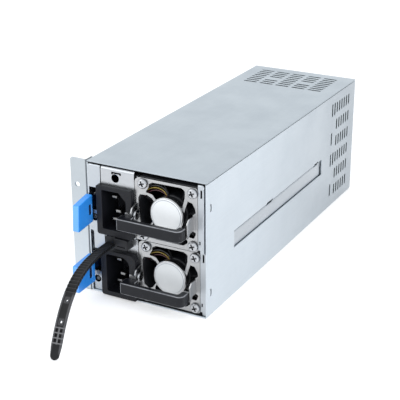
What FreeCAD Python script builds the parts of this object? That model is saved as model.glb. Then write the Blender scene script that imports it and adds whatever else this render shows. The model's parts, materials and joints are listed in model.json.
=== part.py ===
import FreeCAD, Part
import math
import os
import re
import Sketcher
from FreeCAD import Placement, Rotation, Vector

# Redundant slide-in power supply: a two-unit-high steel cage that holds two
# power modules one above the other.
# Frame: origin at the centre of the cage's bottom face, +X to the right as seen
# from the front, +Y towards the rear, +Z up, millimetres.

doc = FreeCAD.newDocument("slide_in_power_supply")

# ------------------------------------------------------------------ dimensions
DIMS = [
    ("cage_width", 78.5), ("cage_height", 84.0), ("cage_depth", 226.5),
    ("cage_wall", 0.8), ("lid_seam", 0.35), ("bend_outer", 1.2),
    ("ear_reach", 11.55), ("ear_thick", 1.2), ("ear_return", 6.7), ("ear_hole", 3.2),
    ("ear_hole_low", 16.4), ("ear_hole_high", 67.6),
    ("window_low", 31.0), ("window_high", 42.0), ("window_front", 34.6), ("window_length", 133.6),
    ("vent_pitch", 4.3), ("vent_slot", 2.1), ("vent_rise", 7.8), ("vent_row", 12.22),
    ("top_block", 9.9), ("top_block_pitch", 12.25),
    ("shelf_thick", 0.7), ("shelf_low", 40.25),
    ("module_width", 76.2), ("module_depth", 185.0), ("module_pitch", 40.15),
    ("module_low", 1.15), ("module_high", 39.9), ("face_low", 0.95), ("face_high", 40.85), ("face_top", 42.4),
    ("upper_front", -1.2), ("lower_front", 1.2), ("steel", 0.8),
    ("fan_size", 39.8), ("fan_depth", 28.0), ("fan_bore", 19.0), ("fan_pitch", 32.0),
    ("fan_x", 15.4), ("fan_z", 20.95), ("rotor_tip", 18.4), ("hub_radius", 10.7),
    ("guard_thick", 0.8), ("boss_radius", 10.8), ("boss_rise", 2.0),
    ("flange_width", 24.2), ("flange_low", 0.9), ("flange_high", 31.5), ("inlet_x", -18.9), ("inlet_z", 17.0),
    ("recess_width", 16.2), ("recess_rise", 24.1), ("recess_deep", 17.5),
    ("grip_low", 11.7), ("grip_high", 18.8), ("grip_front", 14.5), ("grip_deep", 7.0),
    ("tab_low", 5.2), ("tab_high", 24.0), ("tab_reach", 15.0), ("tab_thick", 4.2),
    ("pivot_x", -35.7), ("pivot_y", 14.0), ("pin_radius", 1.25), ("pin_play", 0.05),
    ("board_thick", 1.6), ("board_level", 4.5),
    ("strap_width", 6.3), ("strap_thick", 1.6),
]
sheet = doc.addObject("Spreadsheet::Sheet", "dims")
for i, (alias, value) in enumerate(DIMS):
    sheet.set("A%d" % (i + 1), alias.replace("_", " "))
    sheet.set("B%d" % (i + 1), str(value))
    sheet.setAlias("B%d" % (i + 1), alias)
doc.recompute()
NAMES = [a for a, _ in DIMS]
VAL = {a: float(sheet.get(a)) for a in NAMES}
WORD = re.compile(r"[a-z][a-z_]+")


def ex(s):
    return WORD.sub(lambda w: ("dims." + w.group(0)) if w.group(0) in VAL else w.group(0), s)


def num(s):
    """Value of a number or of a sum of named dimensions."""
    if not isinstance(s, str):
        return float(s)
    out = 0.0
    text = WORD.sub(lambda w: repr(VAL[w.group(0)]), s).replace(" ", "")
    out = 0.0
    for sign, term in re.findall(r"([+-]?)([^+\-]+)", text.replace("--", "+").replace("+-", "-")):
        v = 1.0
        op = "*"
        for tok in re.findall(r"[*/]|[0-9.e]+", term):
            if tok in "*/":
                op = tok
            else:
                v = v * float(tok) if op == "*" else v / float(tok)
        out += -v if sign == "-" else v
    return out


def bind(obj, prop, s):
    if isinstance(s, str):
        obj.setExpression(prop, ex(s))
        return
    tgt, last = obj, prop
    if prop.startswith("Placement.Base."):
        p = obj.Placement
        setattr(p.Base, prop[-1], float(s))
        b = Vector(p.Base)
        b[{"x": 0, "y": 1, "z": 2}[prop[-1]]] = float(s)
        obj.Placement = Placement(b, p.Rotation)
    else:
        setattr(obj, last, float(s))


def neg(s):
    """Minus a sum written without brackets."""
    if not isinstance(s, str):
        return -s
    t = s.replace(" ", "")
    if t[0] not in "+-":
        t = "+" + t
    t = t.translate(str.maketrans("+-", "-+"))
    return t[1:] if t[0] == "+" else t


def add(a, b):
    if not isinstance(a, str) and not isinstance(b, str):
        return a + b
    a, b = str(a), str(b)
    return a + (b if b[0] in "+-" else "+" + b)


def sub(a, b):
    if not isinstance(a, str) and not isinstance(b, str):
        return a - b
    return add(str(a), neg(str(b)))


AXES = {"+x": Vector(1, 0, 0), "-x": Vector(-1, 0, 0), "+y": Vector(0, 1, 0),
        "-y": Vector(0, -1, 0), "+z": Vector(0, 0, 1), "-z": Vector(0, 0, -1)}


def place(obj, base, rot=None):
    if rot is not None:
        obj.Placement = Placement(Vector(0, 0, 0), rot)
    for key, v in zip("xyz", base):
        bind(obj, "Placement.Base." + key, v)
    return obj


def box(name, x, y, z):
    o = doc.addObject("Part::Box", name)
    for prop, (lo, hi) in (("Length", x), ("Width", y), ("Height", z)):
        bind(o, prop, sub(hi, lo))
    return place(o, (x[0], y[0], z[0]))


def cyl(name, r, length, base, axis="+z"):
    o = doc.addObject("Part::Cylinder", name)
    bind(o, "Radius", r)
    bind(o, "Height", length)
    return place(o, base, Rotation(Vector(0, 0, 1), AXES[axis]))


def cone(name, r1, r2, length, base, axis="+z"):
    o = doc.addObject("Part::Cone", name)
    bind(o, "Radius1", r1)
    bind(o, "Radius2", r2)
    bind(o, "Height", length)
    return place(o, base, Rotation(Vector(0, 0, 1), AXES[axis]))


def torus(name, r1, r2, base, axis="+z"):
    o = doc.addObject("Part::Torus", name)
    bind(o, "Radius1", r1)
    bind(o, "Radius2", r2)
    return place(o, base, Rotation(Vector(0, 0, 1), AXES[axis]))


def fuse(name, objs):
    if len(objs) == 1:
        return objs[0]
    o = doc.addObject("Part::MultiFuse", name)
    o.Shapes = objs
    o.Refine = True
    return o


def group(name, objs):
    o = doc.addObject("Part::Compound", name)
    o.Links = objs
    return o


def cut(name, base, tools):
    if isinstance(tools, (list, tuple)):
        tools = tools[0] if len(tools) == 1 else fuse(name + "_tools", list(tools))
    o = doc.addObject("Part::Cut", name)
    o.Base = base
    o.Tool = tools
    o.Refine = True
    return o


def fillet(name, base, test, r):
    """Rounds the edges of base whose middle point and direction pass the test."""
    doc.recompute()
    picks = []
    for i, e in enumerate(base.Shape.Edges):
        if e.Curve.TypeId != "Part::GeomLine":
            continue
        mid = e.CenterOfMass
        d = e.Curve.Direction
        axis = max(range(3), key=lambda k: abs(d[k]))
        if test(mid, "xyz"[axis], e):
            picks.append((i + 1, float(num(r)), float(num(r))))
    if not picks:
        raise RuntimeError("no edge to round on " + name)
    o = doc.addObject("Part::Fillet", name)
    o.Base = base
    o.Edges = picks
    return o


def solids(name, shapes):
    """Solids that are drawn from the sheet's values."""
    o = doc.addObject("Part::Feature", name)
    o.Shape = Part.makeCompound(shapes) if len(shapes) > 1 else shapes[0]
    return o


# ------------------------------------------------------------- sketch helpers
def corner_loop(pts):
    """Closed outline of (x, y, radius) corners as lines and arcs."""
    n = len(pts)
    segs, ends = [], []
    for i in range(n):
        p0, p1, p2 = pts[i - 1], pts[i], pts[(i + 1) % n]
        a, b, c = Vector(p0[0], p0[1], 0), Vector(p1[0], p1[1], 0), Vector(p2[0], p2[1], 0)
        r = p1[2] if len(p1) > 2 else 0.0
        u, w = (a - b).normalize(), (c - b).normalize()
        if r <= 0:
            ends.append((b, b, None))
            continue
        ang = u.getAngle(w)
        t = r / math.tan(ang / 2)
        t1, t2 = b + u * t, b + w * t
        cen = b + (u + w).normalize() * (r / math.sin(ang / 2))
        ends.append((t1, t2, (cen, r)))
    for i in range(n):
        t1, t2, arc = ends[i]
        nxt = ends[(i + 1) % n][0]
        if arc:
            cen, r = arc
            a0 = math.atan2(t1.y - cen.y, t1.x - cen.x)
            a1 = math.atan2(t2.y - cen.y, t2.x - cen.x)
            if ((a1 - a0) % (2 * math.pi)) > math.pi:
                a0, a1 = a1, a0
            segs.append(Part.ArcOfCircle(Part.Circle(cen, Vector(0, 0, 1), r), a0, a1))
        if (nxt - t2).Length > 1e-6:
            segs.append(Part.LineSegment(t2, nxt))
    return segs


def body(name):
    return doc.addObject("PartDesign::Body", name)


def sketch(b, name, role, offset=0.0):
    sk = b.newObject("Sketcher::SketchObject", name)
    plane = [f for f in b.Origin.OriginFeatures if f.Role == role][0]
    sk.AttachmentSupport = [(plane, "")]
    sk.MapMode = "FlatFace"
    sk.AttachmentOffset = Placement(Vector(0, 0, num(offset)), Rotation())
    if isinstance(offset, str):
        sk.setExpression("AttachmentOffset.Base.z", ex(offset))
    return sk


def loop(sk, pts):
    for g in corner_loop(pts):
        sk.addGeometry(g, False)


def circle(sk, x, y, r):
    k = sk.addGeometry(Part.Circle(Vector(num(x), num(y), 0), Vector(0, 0, 1), num(r)), False)
    c = sk.addConstraint(Sketcher.Constraint("Radius", k, num(r)))
    if isinstance(r, str):
        sk.setExpression("Constraints[%d]" % c, ex(r))
    return k


def rect(sk, x, y):
    """Rectangle whose four sides are tied to the sheet."""
    x0, x1, y0, y1 = num(x[0]), num(x[1]), num(y[0]), num(y[1])
    p = [Vector(x0, y0, 0), Vector(x1, y0, 0), Vector(x1, y1, 0), Vector(x0, y1, 0)]
    k = [sk.addGeometry(Part.LineSegment(p[i], p[(i + 1) % 4]), False) for i in range(4)]
    for i in range(4):
        sk.addConstraint(Sketcher.Constraint("Coincident", k[i], 2, k[(i + 1) % 4], 1))
    sk.addConstraint(Sketcher.Constraint("Horizontal", k[0]))
    sk.addConstraint(Sketcher.Constraint("Horizontal", k[2]))
    sk.addConstraint(Sketcher.Constraint("Vertical", k[1]))
    sk.addConstraint(Sketcher.Constraint("Vertical", k[3]))
    w = sk.addConstraint(Sketcher.Constraint("DistanceX", k[0], 1, k[0], 2, x1 - x0))
    q = sk.addConstraint(Sketcher.Constraint("DistanceY", k[1], 1, k[1], 2, y1 - y0))
    if isinstance(x[0], str) or isinstance(x[1], str):
        sk.setExpression("Constraints[%d]" % w, ex(str(sub(x[1], x[0]))))
    if isinstance(y[0], str) or isinstance(y[1], str):
        sk.setExpression("Constraints[%d]" % q, ex(str(sub(y[1], y[0]))))


def pad(b, sk, length, reverse=False, name=None):
    f = b.newObject("PartDesign::Pad", name or sk.Name + "_pad")
    f.Profile = sk
    f.Length = num(length)
    if isinstance(length, str):
        f.setExpression("Length", ex(length))
    f.Reversed = reverse
    sk.Visibility = False
    b.Tip = f
    return f


def pocket(b, sk, length, reverse=False):
    doc.recompute()
    before = b.Shape.Volume
    f = b.newObject("PartDesign::Pocket", sk.Name + "_pocket")
    f.Profile = sk
    f.Length = num(length)
    f.Reversed = reverse
    b.Tip = f
    doc.recompute()
    if not b.Shape.Volume < before - 1e-3:
        raise RuntimeError("pocket cuts nothing: " + sk.Name)
    return f


def round_edges(b, test, r, name):
    doc.recompute()
    tip = b.Tip
    subs = []
    for i, e in enumerate(tip.Shape.Edges):
        if test(e):
            subs.append("Edge%d" % (i + 1))
    if not subs:
        raise RuntimeError("no edge for " + name)
    f = b.newObject("PartDesign::Fillet", name)
    f.Base = (tip, subs)
    f.Radius = r
    b.Tip = f
    doc.recompute()
    return f


NODES = {}
SECTION_CHECKS = []


def node(name, obj, base=None):
    """Registers a finished piece under the name of its file."""
    obj.Label = name
    if base is not None:
        for key, v in zip("xyz", base):
            bind(obj, "Placement.Base." + key, v)
    NODES[name] = obj
    return obj


half_w = "cage_width/2"
in_w = "cage_width/2-cage_wall"
front = "-cage_depth/2"
rear = "cage_depth/2"
F = num(front)

# ============================================================ cage: base shell
wall_top = "cage_height-cage_wall-lid_seam"
outer = box("base_outer", ("-cage_width/2", half_w), (front, rear), (0, wall_top))
outer_r = fillet("base_outer_round", outer,
                 lambda m, a, e: a == "y" and m.z < 1, "bend_outer")
inner = box("base_inner", ("-cage_width/2+cage_wall", in_w), ("-cage_depth/2-2", "cage_depth/2+2"),
            ("cage_wall", "cage_height+2"))
shell = cut("base_shell", outer_r, [inner])

# rear side vents: main field of six by six, with longer slots in front of it
cutters = []
X0, X1 = VAL["cage_width"] / 2 - 3, VAL["cage_width"] / 2 + 3
slot, rise = VAL["vent_slot"], VAL["vent_rise"]


def slot_yz(yc, zc, w, h, x0, x1):
    """Upright slot with round ends through a side wall."""
    r = w / 2
    b = Part.makeBox(x1 - x0, w, h - w, Vector(x0, yc - r, zc - h / 2 + r))
    c1 = Part.makeCylinder(r, x1 - x0, Vector(x0, yc, zc - h / 2 + r), Vector(1, 0, 0))
    c2 = Part.makeCylinder(r, x1 - x0, Vector(x0, yc, zc + h / 2 - r), Vector(1, 0, 0))
    return b.fuse([c1, c2]).removeSplitter()


row_z = [72.6 - VAL["vent_row"] * k for k in range(6)]
col_y = [F + 193.4 + VAL["vent_pitch"] * k for k in range(6)]
vents = []
for side in (1, -1):
    xa, xb = (X0, X1) if side > 0 else (-X1, -X0)
    for k, zc in enumerate(row_z):
        for yc in col_y:
            vents.append(slot_yz(yc, zc, slot, rise, xa, xb))
        for extra in ({0: (184.8, 189.1), 2: (184.8,), 3: (184.8, 189.1), 5: (185.6,)}.get(k, ())):
            vents.append(slot_yz(F + extra, zc - 0.3 if k in (0, 3) else zc + (3.2 if k == 2 else 1.4),
                                 slot, 9.4, xa, xb))
vent_tools = solids("side_vent_tools", vents)
# long side window with its two notches for the shelf's lugs
window = box("side_window", (in_w + "-1", half_w + "+1"),
             ("-cage_depth/2+window_front", "-cage_depth/2+window_front+window_length"),
             ("window_low", "window_high"))
notch_a = box("window_notch_front", (in_w + "-1", half_w + "+1"),
              ("-cage_depth/2+79.8", "-cage_depth/2+88.0"), ("window_high-0.2", "window_high+0.9"))
notch_b = box("window_notch_rear", (in_w + "-1", half_w + "+1"),
              ("-cage_depth/2+155.4", "-cage_depth/2+161.4"), ("window_high-0.2", "window_high+0.9"))
# two curved lances near the front edge of the right wall
lances = []
for zc in (67.6, 15.0):
    ring = Part.makeCylinder(7.1, 6, Vector(X0, F + 5.4 - 6.4, zc), Vector(1, 0, 0)).cut(
        Part.makeCylinder(5.9, 6, Vector(X0, F + 5.4 - 6.4, zc), Vector(1, 0, 0)))
    lances.append(ring.common(Part.makeBox(6, 6, 4.6, Vector(X0, F + 3.5, zc - 2.3))))
lance_tools = solids("lance_tools", lances)
catch_tools = [box("catch_window_%s" % n, ("-cage_width/2-1", "-cage_width/2+cage_wall+0.5"),
                   (add(front, o), add(front, add(o, 5))), (z, add(z, 9)))
               for n, o, z in (("low", 4.6, 14.0), ("high", 2.2, "14.0+module_pitch"))]
# bottom vents and rear return flanges
floor_slots = []
for i in range(5):
    for j in range(6):
        xc = -25.2 + 12.25 * i + 0.7
        yc = F + 193.4 + 4.3 * j
        floor_slots.append(Part.makeBox(9.9, 2.1, 4, Vector(xc - 4.95, yc - 1.05, -1.5)))
floor_tools = solids("floor_vent_tools", floor_slots)
base_cut = cut("base_cut", shell, [group("base_tools", [vent_tools, lance_tools, floor_tools]), ])
base_cut2 = cut("base_cut_windows", base_cut, [window, notch_a, notch_b] + catch_tools)
flange_l = box("rear_flange_left", ("-cage_width/2+cage_wall-0.1", "-cage_width/2+8.8"),
               ("cage_depth/2-3.7", "cage_depth/2-2.9"), (2, 81))
flange_r = box("rear_flange_right", ("cage_width/2-8.8", in_w + "+0.1"),
               ("cage_depth/2-3.7", "cage_depth/2-2.9"), (2, 81))
flanges = fuse("base_with_flanges", [base_cut2, flange_l, flange_r])
screw_bores = [cyl("flange_bore_%d" % i, 1.25, 4, (x, "cage_depth/2-5", z), "+y")
               for i, (x, z) in enumerate(((-34.2, 9), (-34.2, 74), (34.2, 9), (34.2, 74)))]
rivet_bores = [cyl("rivet_bore_%d" % i, 1.5, 4, ("-cage_width/2-1.5", "-cage_depth/2+3.9", z), "+x")
               for i, z in enumerate((11, 33.5, 76.5))]
node("cage_base", cut("cage_base", flanges, screw_bores + rivet_bores))

# =============================================================== cage: lid
lid_b = body("cage_lid")
sk = sketch(lid_b, "lid_plate_sketch", "XY_Plane", "cage_height-cage_wall")
rect(sk, ("-cage_width/2", "cage_width/2"), ("-cage_depth/2", "cage_depth/2"))
pad(lid_b, sk, "cage_wall")
for s in (-1, 1):
    sk = sketch(lid_b, "lid_flange_sketch_%s" % ("left" if s < 0 else "right"), "XY_Plane", "cage_height-cage_wall-2.5")
    xs = (s * 38.35, s * 37.55)
    rect(sk, (min(xs), max(xs)), (F + 1.5, -F - 5.0))
    pad(lid_b, sk, 2.6)
doc.recompute()
# top vents: five blocks of eight slots that run across the lid
sk = sketch(lid_b, "lid_vent_sketch", "XY_Plane", "cage_height+1")
for i in range(5):
    xc = -25.2 + VAL["top_block_pitch"] * i
    for j in range(8):
        yc = F + 187.6 + 4.3 * j
        if j == 3 and i in (1, 3):
            continue
        a, r = VAL["top_block"] / 2, 1.0
        loop(sk, [(xc - a, yc - 1.05, r), (xc + a, yc - 1.05, r), (xc + a, yc + 1.05, r), (xc - a, yc + 1.05, r)])
pocket(lid_b, sk, 3.0)
round_edges(lid_b, lambda e: e.Curve.TypeId == "Part::GeomLine" and abs(e.CenterOfMass.z - VAL["cage_height"]) < 1e-3
            and abs(e.Curve.Direction.y) > 0.9 and abs(abs(e.CenterOfMass.x) - VAL["cage_width"] / 2) < 0.01,
            0.5, "lid_edge_round")
node("cage_lid", lid_b)

# ======================================================= cage: rear panel
panel = box("rear_plate", ("-cage_width/2+cage_wall+0.15", "cage_width/2-cage_wall-0.15"),
            ("cage_depth/2-2.85", "cage_depth/2-2.05"), (1.1, 80.4))
outlet = box("rear_outlet", (-19, 19), ("cage_depth/2-5", "cage_depth/2+1"), (30, 54))
outlet_r = fillet("rear_outlet_round", outlet, lambda m, a, e: a == "y", 3.0)
rear_slots = []
for zc in (64.5, 68.8, 73.1, 19.5, 15.2, 10.9):
    for xc in (-20.0, -6.7, 6.7, 20.0):
        rear_slots.append(Part.makeBox(10.5, 8, 2.1, Vector(xc - 5.25, -F - 6, zc - 1.05)))
rear_slot_tools = solids("rear_slot_tools", rear_slots)
rear_bores = [cyl("rear_bore_%d" % i, 1.6, 6, (x, "cage_depth/2-6", z), "+y")
              for i, (x, z) in enumerate(((-34.2, 9), (-34.2, 74), (34.2, 9), (34.2, 74)))]
post_bores = [cyl("post_bore_%d" % i, 1.6, 6, (x, "cage_depth/2-6", z), "+y")
              for i, (x, z) in enumerate(((-27, 24), (-27, 60), (27, 24), (27, 60)))]
node("cage_rear_panel", cut("cage_rear_panel", panel, [outlet_r, rear_slot_tools] + rear_bores + post_bores))


def pan_screw(name, x, y, z, axis, head_r, head_t, shank_r, shank_l, recess=True):
    """Pan-head screw with a cross recess; (x, y, z) is under the head, axis
    points from the tip to the head."""
    a = AXES[axis]
    back = {"+": "-", "-": "+"}[axis[0]] + axis[1]
    head = cyl(name + "_head", head_r, head_t, (x, y, z), axis)
    shank = cyl(name + "_shank", shank_r, shank_l, (x, y, z), back)
    both = fuse(name + "_solid", [head, shank])
    rnd = doc.addObject("Part::Fillet", name + "_round")
    doc.recompute()
    rnd.Base = both
    edges = []
    for i, e in enumerate(both.Shape.Edges):
        if e.Curve.TypeId == "Part::GeomCircle" and abs(e.Curve.Radius - head_r) < 1e-4:
            c = Vector(e.Curve.Center)
            if (c - Vector(num(x), num(y), num(z))).dot(a) > head_t / 2:
                edges.append((i + 1, head_t * 0.55, head_t * 0.55))
    rnd.Edges = edges
    if not recess:
        return rnd
    top = Vector(num(x), num(y), num(z)) + a * head_t
    w, ln, dp = head_r * 0.30, head_r * 1.16, head_t * 0.72
    bars = []
    for turn in (0, 90):
        bar = Part.makeBox(ln, w, dp + 1, Vector(-ln / 2, -w / 2, -dp))
        bar.rotate(Vector(0, 0, 0), Vector(0, 0, 1), turn + 22)
        bar.Placement = Placement(top, Rotation(Vector(0, 0, 1), a)) * bar.Placement
        bars.append(bar)
    cross = solids(name + "_cross", [bars[0].fuse(bars[1])])
    return cut(name + "_cut", rnd, [cross])


node("rear_screws", group("rear_screws", [
    pan_screw("rear_screw_%d" % i, x, "cage_depth/2-2.05", z, "+y", 2.75, 1.7, 1.2, 5.0)
    for i, (x, z) in enumerate(((-34.2, 9), (-34.2, 74), (34.2, 9), (34.2, 74)))]))

bush_o = box("bushing_outer", (-18.8, 18.8), ("cage_depth/2-5.6", "cage_depth/2-0.6"), (30.2, 53.8))
bush_or = fillet("bushing_outer_round", bush_o, lambda m, a, e: a == "y", 2.8)
bush_f = box("bushing_flange", (-20.6, 20.6), ("cage_depth/2-2.05", "cage_depth/2-0.55"), (28.4, 55.6))
bush_fr = fillet("bushing_flange_round", bush_f, lambda m, a, e: a == "y", 4.4)
bush_i = box("bushing_inner", (-17.0, 17.0), ("cage_depth/2-8", "cage_depth/2+2"), (32.0, 52.0))
bush_ir = fillet("bushing_inner_round", bush_i, lambda m, a, e: a == "y", 1.6)
node("harness_bushing", cut("harness_bushing", fuse("bushing_body", [bush_or, bush_fr]), [bush_ir]))

# ================================================================ cage: ear
ear = body("mounting_ear")
sk = sketch(ear, "ear_section", "XY_Plane")
xw = -VAL["cage_width"] / 2
loop(sk, [(xw - VAL["ear_reach"], F), (xw, F), (xw, F + VAL["ear_return"]),
          (xw - VAL["ear_thick"], F + VAL["ear_return"]), (xw - VAL["ear_thick"], F + VAL["ear_thick"], 0.6),
          (xw - VAL["ear_reach"], F + VAL["ear_thick"])])
pad(ear, sk, "cage_height")
sk = sketch(ear, "ear_hole_sketch", "XZ_Plane")
circle(sk, xw - 7.15, "ear_hole_low", "ear_hole/2")
circle(sk, xw - 7.15, "ear_hole_high", "ear_hole/2")
pk = ear.newObject("PartDesign::Pocket", "ear_holes")
pk.Profile = sk
pk.Type = "ThroughAll"
pk.Midplane = True
ear.Tip = pk
sk = sketch(ear, "ear_rivet_sketch", "YZ_Plane")
for z in (11, 33.5, 76.5):
    circle(sk, F + 3.9, z, 1.5)
pk = ear.newObject("PartDesign::Pocket", "ear_rivet_holes")
pk.Profile = sk
pk.Type = "ThroughAll"
pk.Midplane = True
ear.Tip = pk
doc.recompute()
round_edges(ear, lambda e: e.Curve.TypeId == "Part::GeomLine" and abs(e.Curve.Direction.y) > 0.9
            and abs(e.CenterOfMass.x - (xw - VAL["ear_reach"])) < 0.01, 1.5, "ear_corner_round")
node("mounting_ear", ear)

rivets = []
for i, z in enumerate((11, 33.5, 76.5)):
    shank = cyl("rivet_shank_%d" % i, 1.45, 2.3, ("-cage_width/2-ear_thick-0.3", "-cage_depth/2+3.9", z), "+x")
    head = cyl("rivet_head_%d" % i, 2.4, 0.7, ("-cage_width/2-ear_thick", "-cage_depth/2+3.9", z), "-x")
    rivets.append(fuse("rivet_%d" % i, [shank, head]))
node("ear_rivets", group("ear_rivets", rivets))

# ============================================================== cage: shelf
shelf_b = body("mid_shelf")
sk = sketch(shelf_b, "shelf_sketch", "XY_Plane", "shelf_low")
sx = VAL["cage_width"] / 2 - VAL["cage_wall"] - 0.03
loop(sk, [(-sx, F + 34, 2), (sx, F + 34, 2), (sx, F + 80.2), (sx + 0.62, F + 80.2), (sx + 0.62, F + 87.6), (sx, F + 87.6),
          (sx, F + 155.8), (sx + 0.62, F + 155.8), (sx + 0.62, F + 161.0), (sx, F + 161.0), (sx, F + 190), (-sx, F + 190)])
for k in range(4):
    yc = F + 62 + 34 * k
    loop(sk, [(-22, yc - 9, 3), (22, yc - 9, 3), (22, yc + 9, 3), (-22, yc + 9, 3)])
pad(shelf_b, sk, "shelf_thick")
node("mid_shelf", shelf_b)

runner = [box("runner_%s" % n, (x, add(x, 8)), ("-cage_depth/2+40", "-cage_depth/2+184"),
              ("cage_height-cage_wall-2.75", "cage_height-cage_wall"))
          for n, x in (("left", -34.5), ("right", 26.5))]
runner_f = [fillet("runner_round_%d" % i, r, lambda m, a, e: a in "yx" and m.z < 81, 0.8) for i, r in enumerate(runner)]
node("top_runners", group("top_runners", runner_f))

# ========================================================== cage: backplane
plane_y = ("-cage_depth/2+196.4", "-cage_depth/2+198.0")
bp = box("backplane_plate", (-37.2, 37.2), plane_y, (3.0, 79.0))
bp_bores = [cyl("backplane_bore_%d" % i, 1.6, 6, (x, "-cage_depth/2+194", z), "+y")
            for i, (x, z) in enumerate(((-27, 24), (-27, 60), (27, 24), (27, 60)))]
bp_slots = [box("backplane_air_%d" % i, x, ("-cage_depth/2+195", "-cage_depth/2+199"), z) for i, (x, z) in enumerate((
    ((-18, 18), (16.5, 24.0)), ((-18, 18), (56.6, 64.2))))]
node("backplane_board", cut("backplane_board", bp, bp_bores + bp_slots))
socks = []
for n, z0 in (("low", 0.0), ("high", "module_pitch")):
    blk = box("socket_block_" + n, (-26.5, 26.5), ("-cage_depth/2+188.2", "-cage_depth/2+196.4"),
              (add(z0, 2.6), add(z0, 9.0)))
    rnd = fillet("socket_round_" + n, blk, lambda m, a, e: a == "y", 0.8)
    mouth = box("socket_mouth_" + n, (-24.6, 24.6), ("-cage_depth/2+187", "-cage_depth/2+195.2"),
                (add(z0, 4.1), add(z0, 6.5)))
    socks.append(cut("socket_" + n, rnd, [mouth]))
node("backplane_sockets", group("backplane_sockets", socks))
posts = []
for i, (x, z) in enumerate(((-27, 24), (-27, 60), (27, 24), (27, 60))):
    hexa = doc.addObject("Part::Prism", "post_hex_%d" % i)
    hexa.Polygon = 6
    hexa.Circumradius = 3.1
    hexa.setExpression("Height", ex("cage_depth-198.0-2.85"))
    place(hexa, (x, "-cage_depth/2+198.0", z), Rotation(Vector(0, 0, 1), Vector(0, 1, 0)))
    h1 = cyl("post_head_front_%d" % i, 2.8, 1.5, (x, "-cage_depth/2+196.4", z), "-y")
    s1 = cyl("post_stud_front_%d" % i, 1.5, 1.6, (x, "-cage_depth/2+196.4", z), "+y")
    s2 = cyl("post_stud_rear_%d" % i, 1.5, 0.8, (x, "cage_depth/2-2.85", z), "+y")
    h2 = cyl("post_head_rear_%d" % i, 2.8, 1.5, (x, "cage_depth/2-2.05", z), "+y")
    posts.append(fuse("post_%d" % i, [hexa, h1, s1, s2, h2]))
node("backplane_standoffs", group("backplane_standoffs", posts))
heads = []
for n, z0 in (("low", 30.5), ("high", 43.0)):
    blk = box("header_block_" + n, (-16.0, 16.0), ("-cage_depth/2+198.0", "-cage_depth/2+209.0"), (z0, z0 + 10.4))
    cells = []
    for k in range(7):
        for m in range(2):
            x0 = -15.0 + 4.34 * k
            cells.append(Part.makeBox(3.5, 9, 3.7, Vector(x0, F + 201, z0 + 1.0 + 4.7 * m)))
    tool = solids("header_cells_" + n, cells)
    heads.append(cut("header_" + n, blk, [tool]))
node("output_headers", group("output_headers", heads))


# ==================================================================== module
def bent_strip(name, face, lip, top):
    """Narrow front strip of the tray with its top folded back."""
    sheet_face = fillet(name + "_face", box(name + "_blank", face, (0, "steel"), ("face_low", top)),
                        lambda m, a, e: a == "y" and m.z > 39 and abs(m.x) > 37.5, 1.2)
    folded = fuse(name + "_folded", [sheet_face, box(name + "_lip", lip, (0, 4.0), (top + "-steel", top))])
    return fillet(name, folded, lambda m, a, e: a == "x" and m.y < 0.01 and m.z > 39, 0.75)


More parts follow.
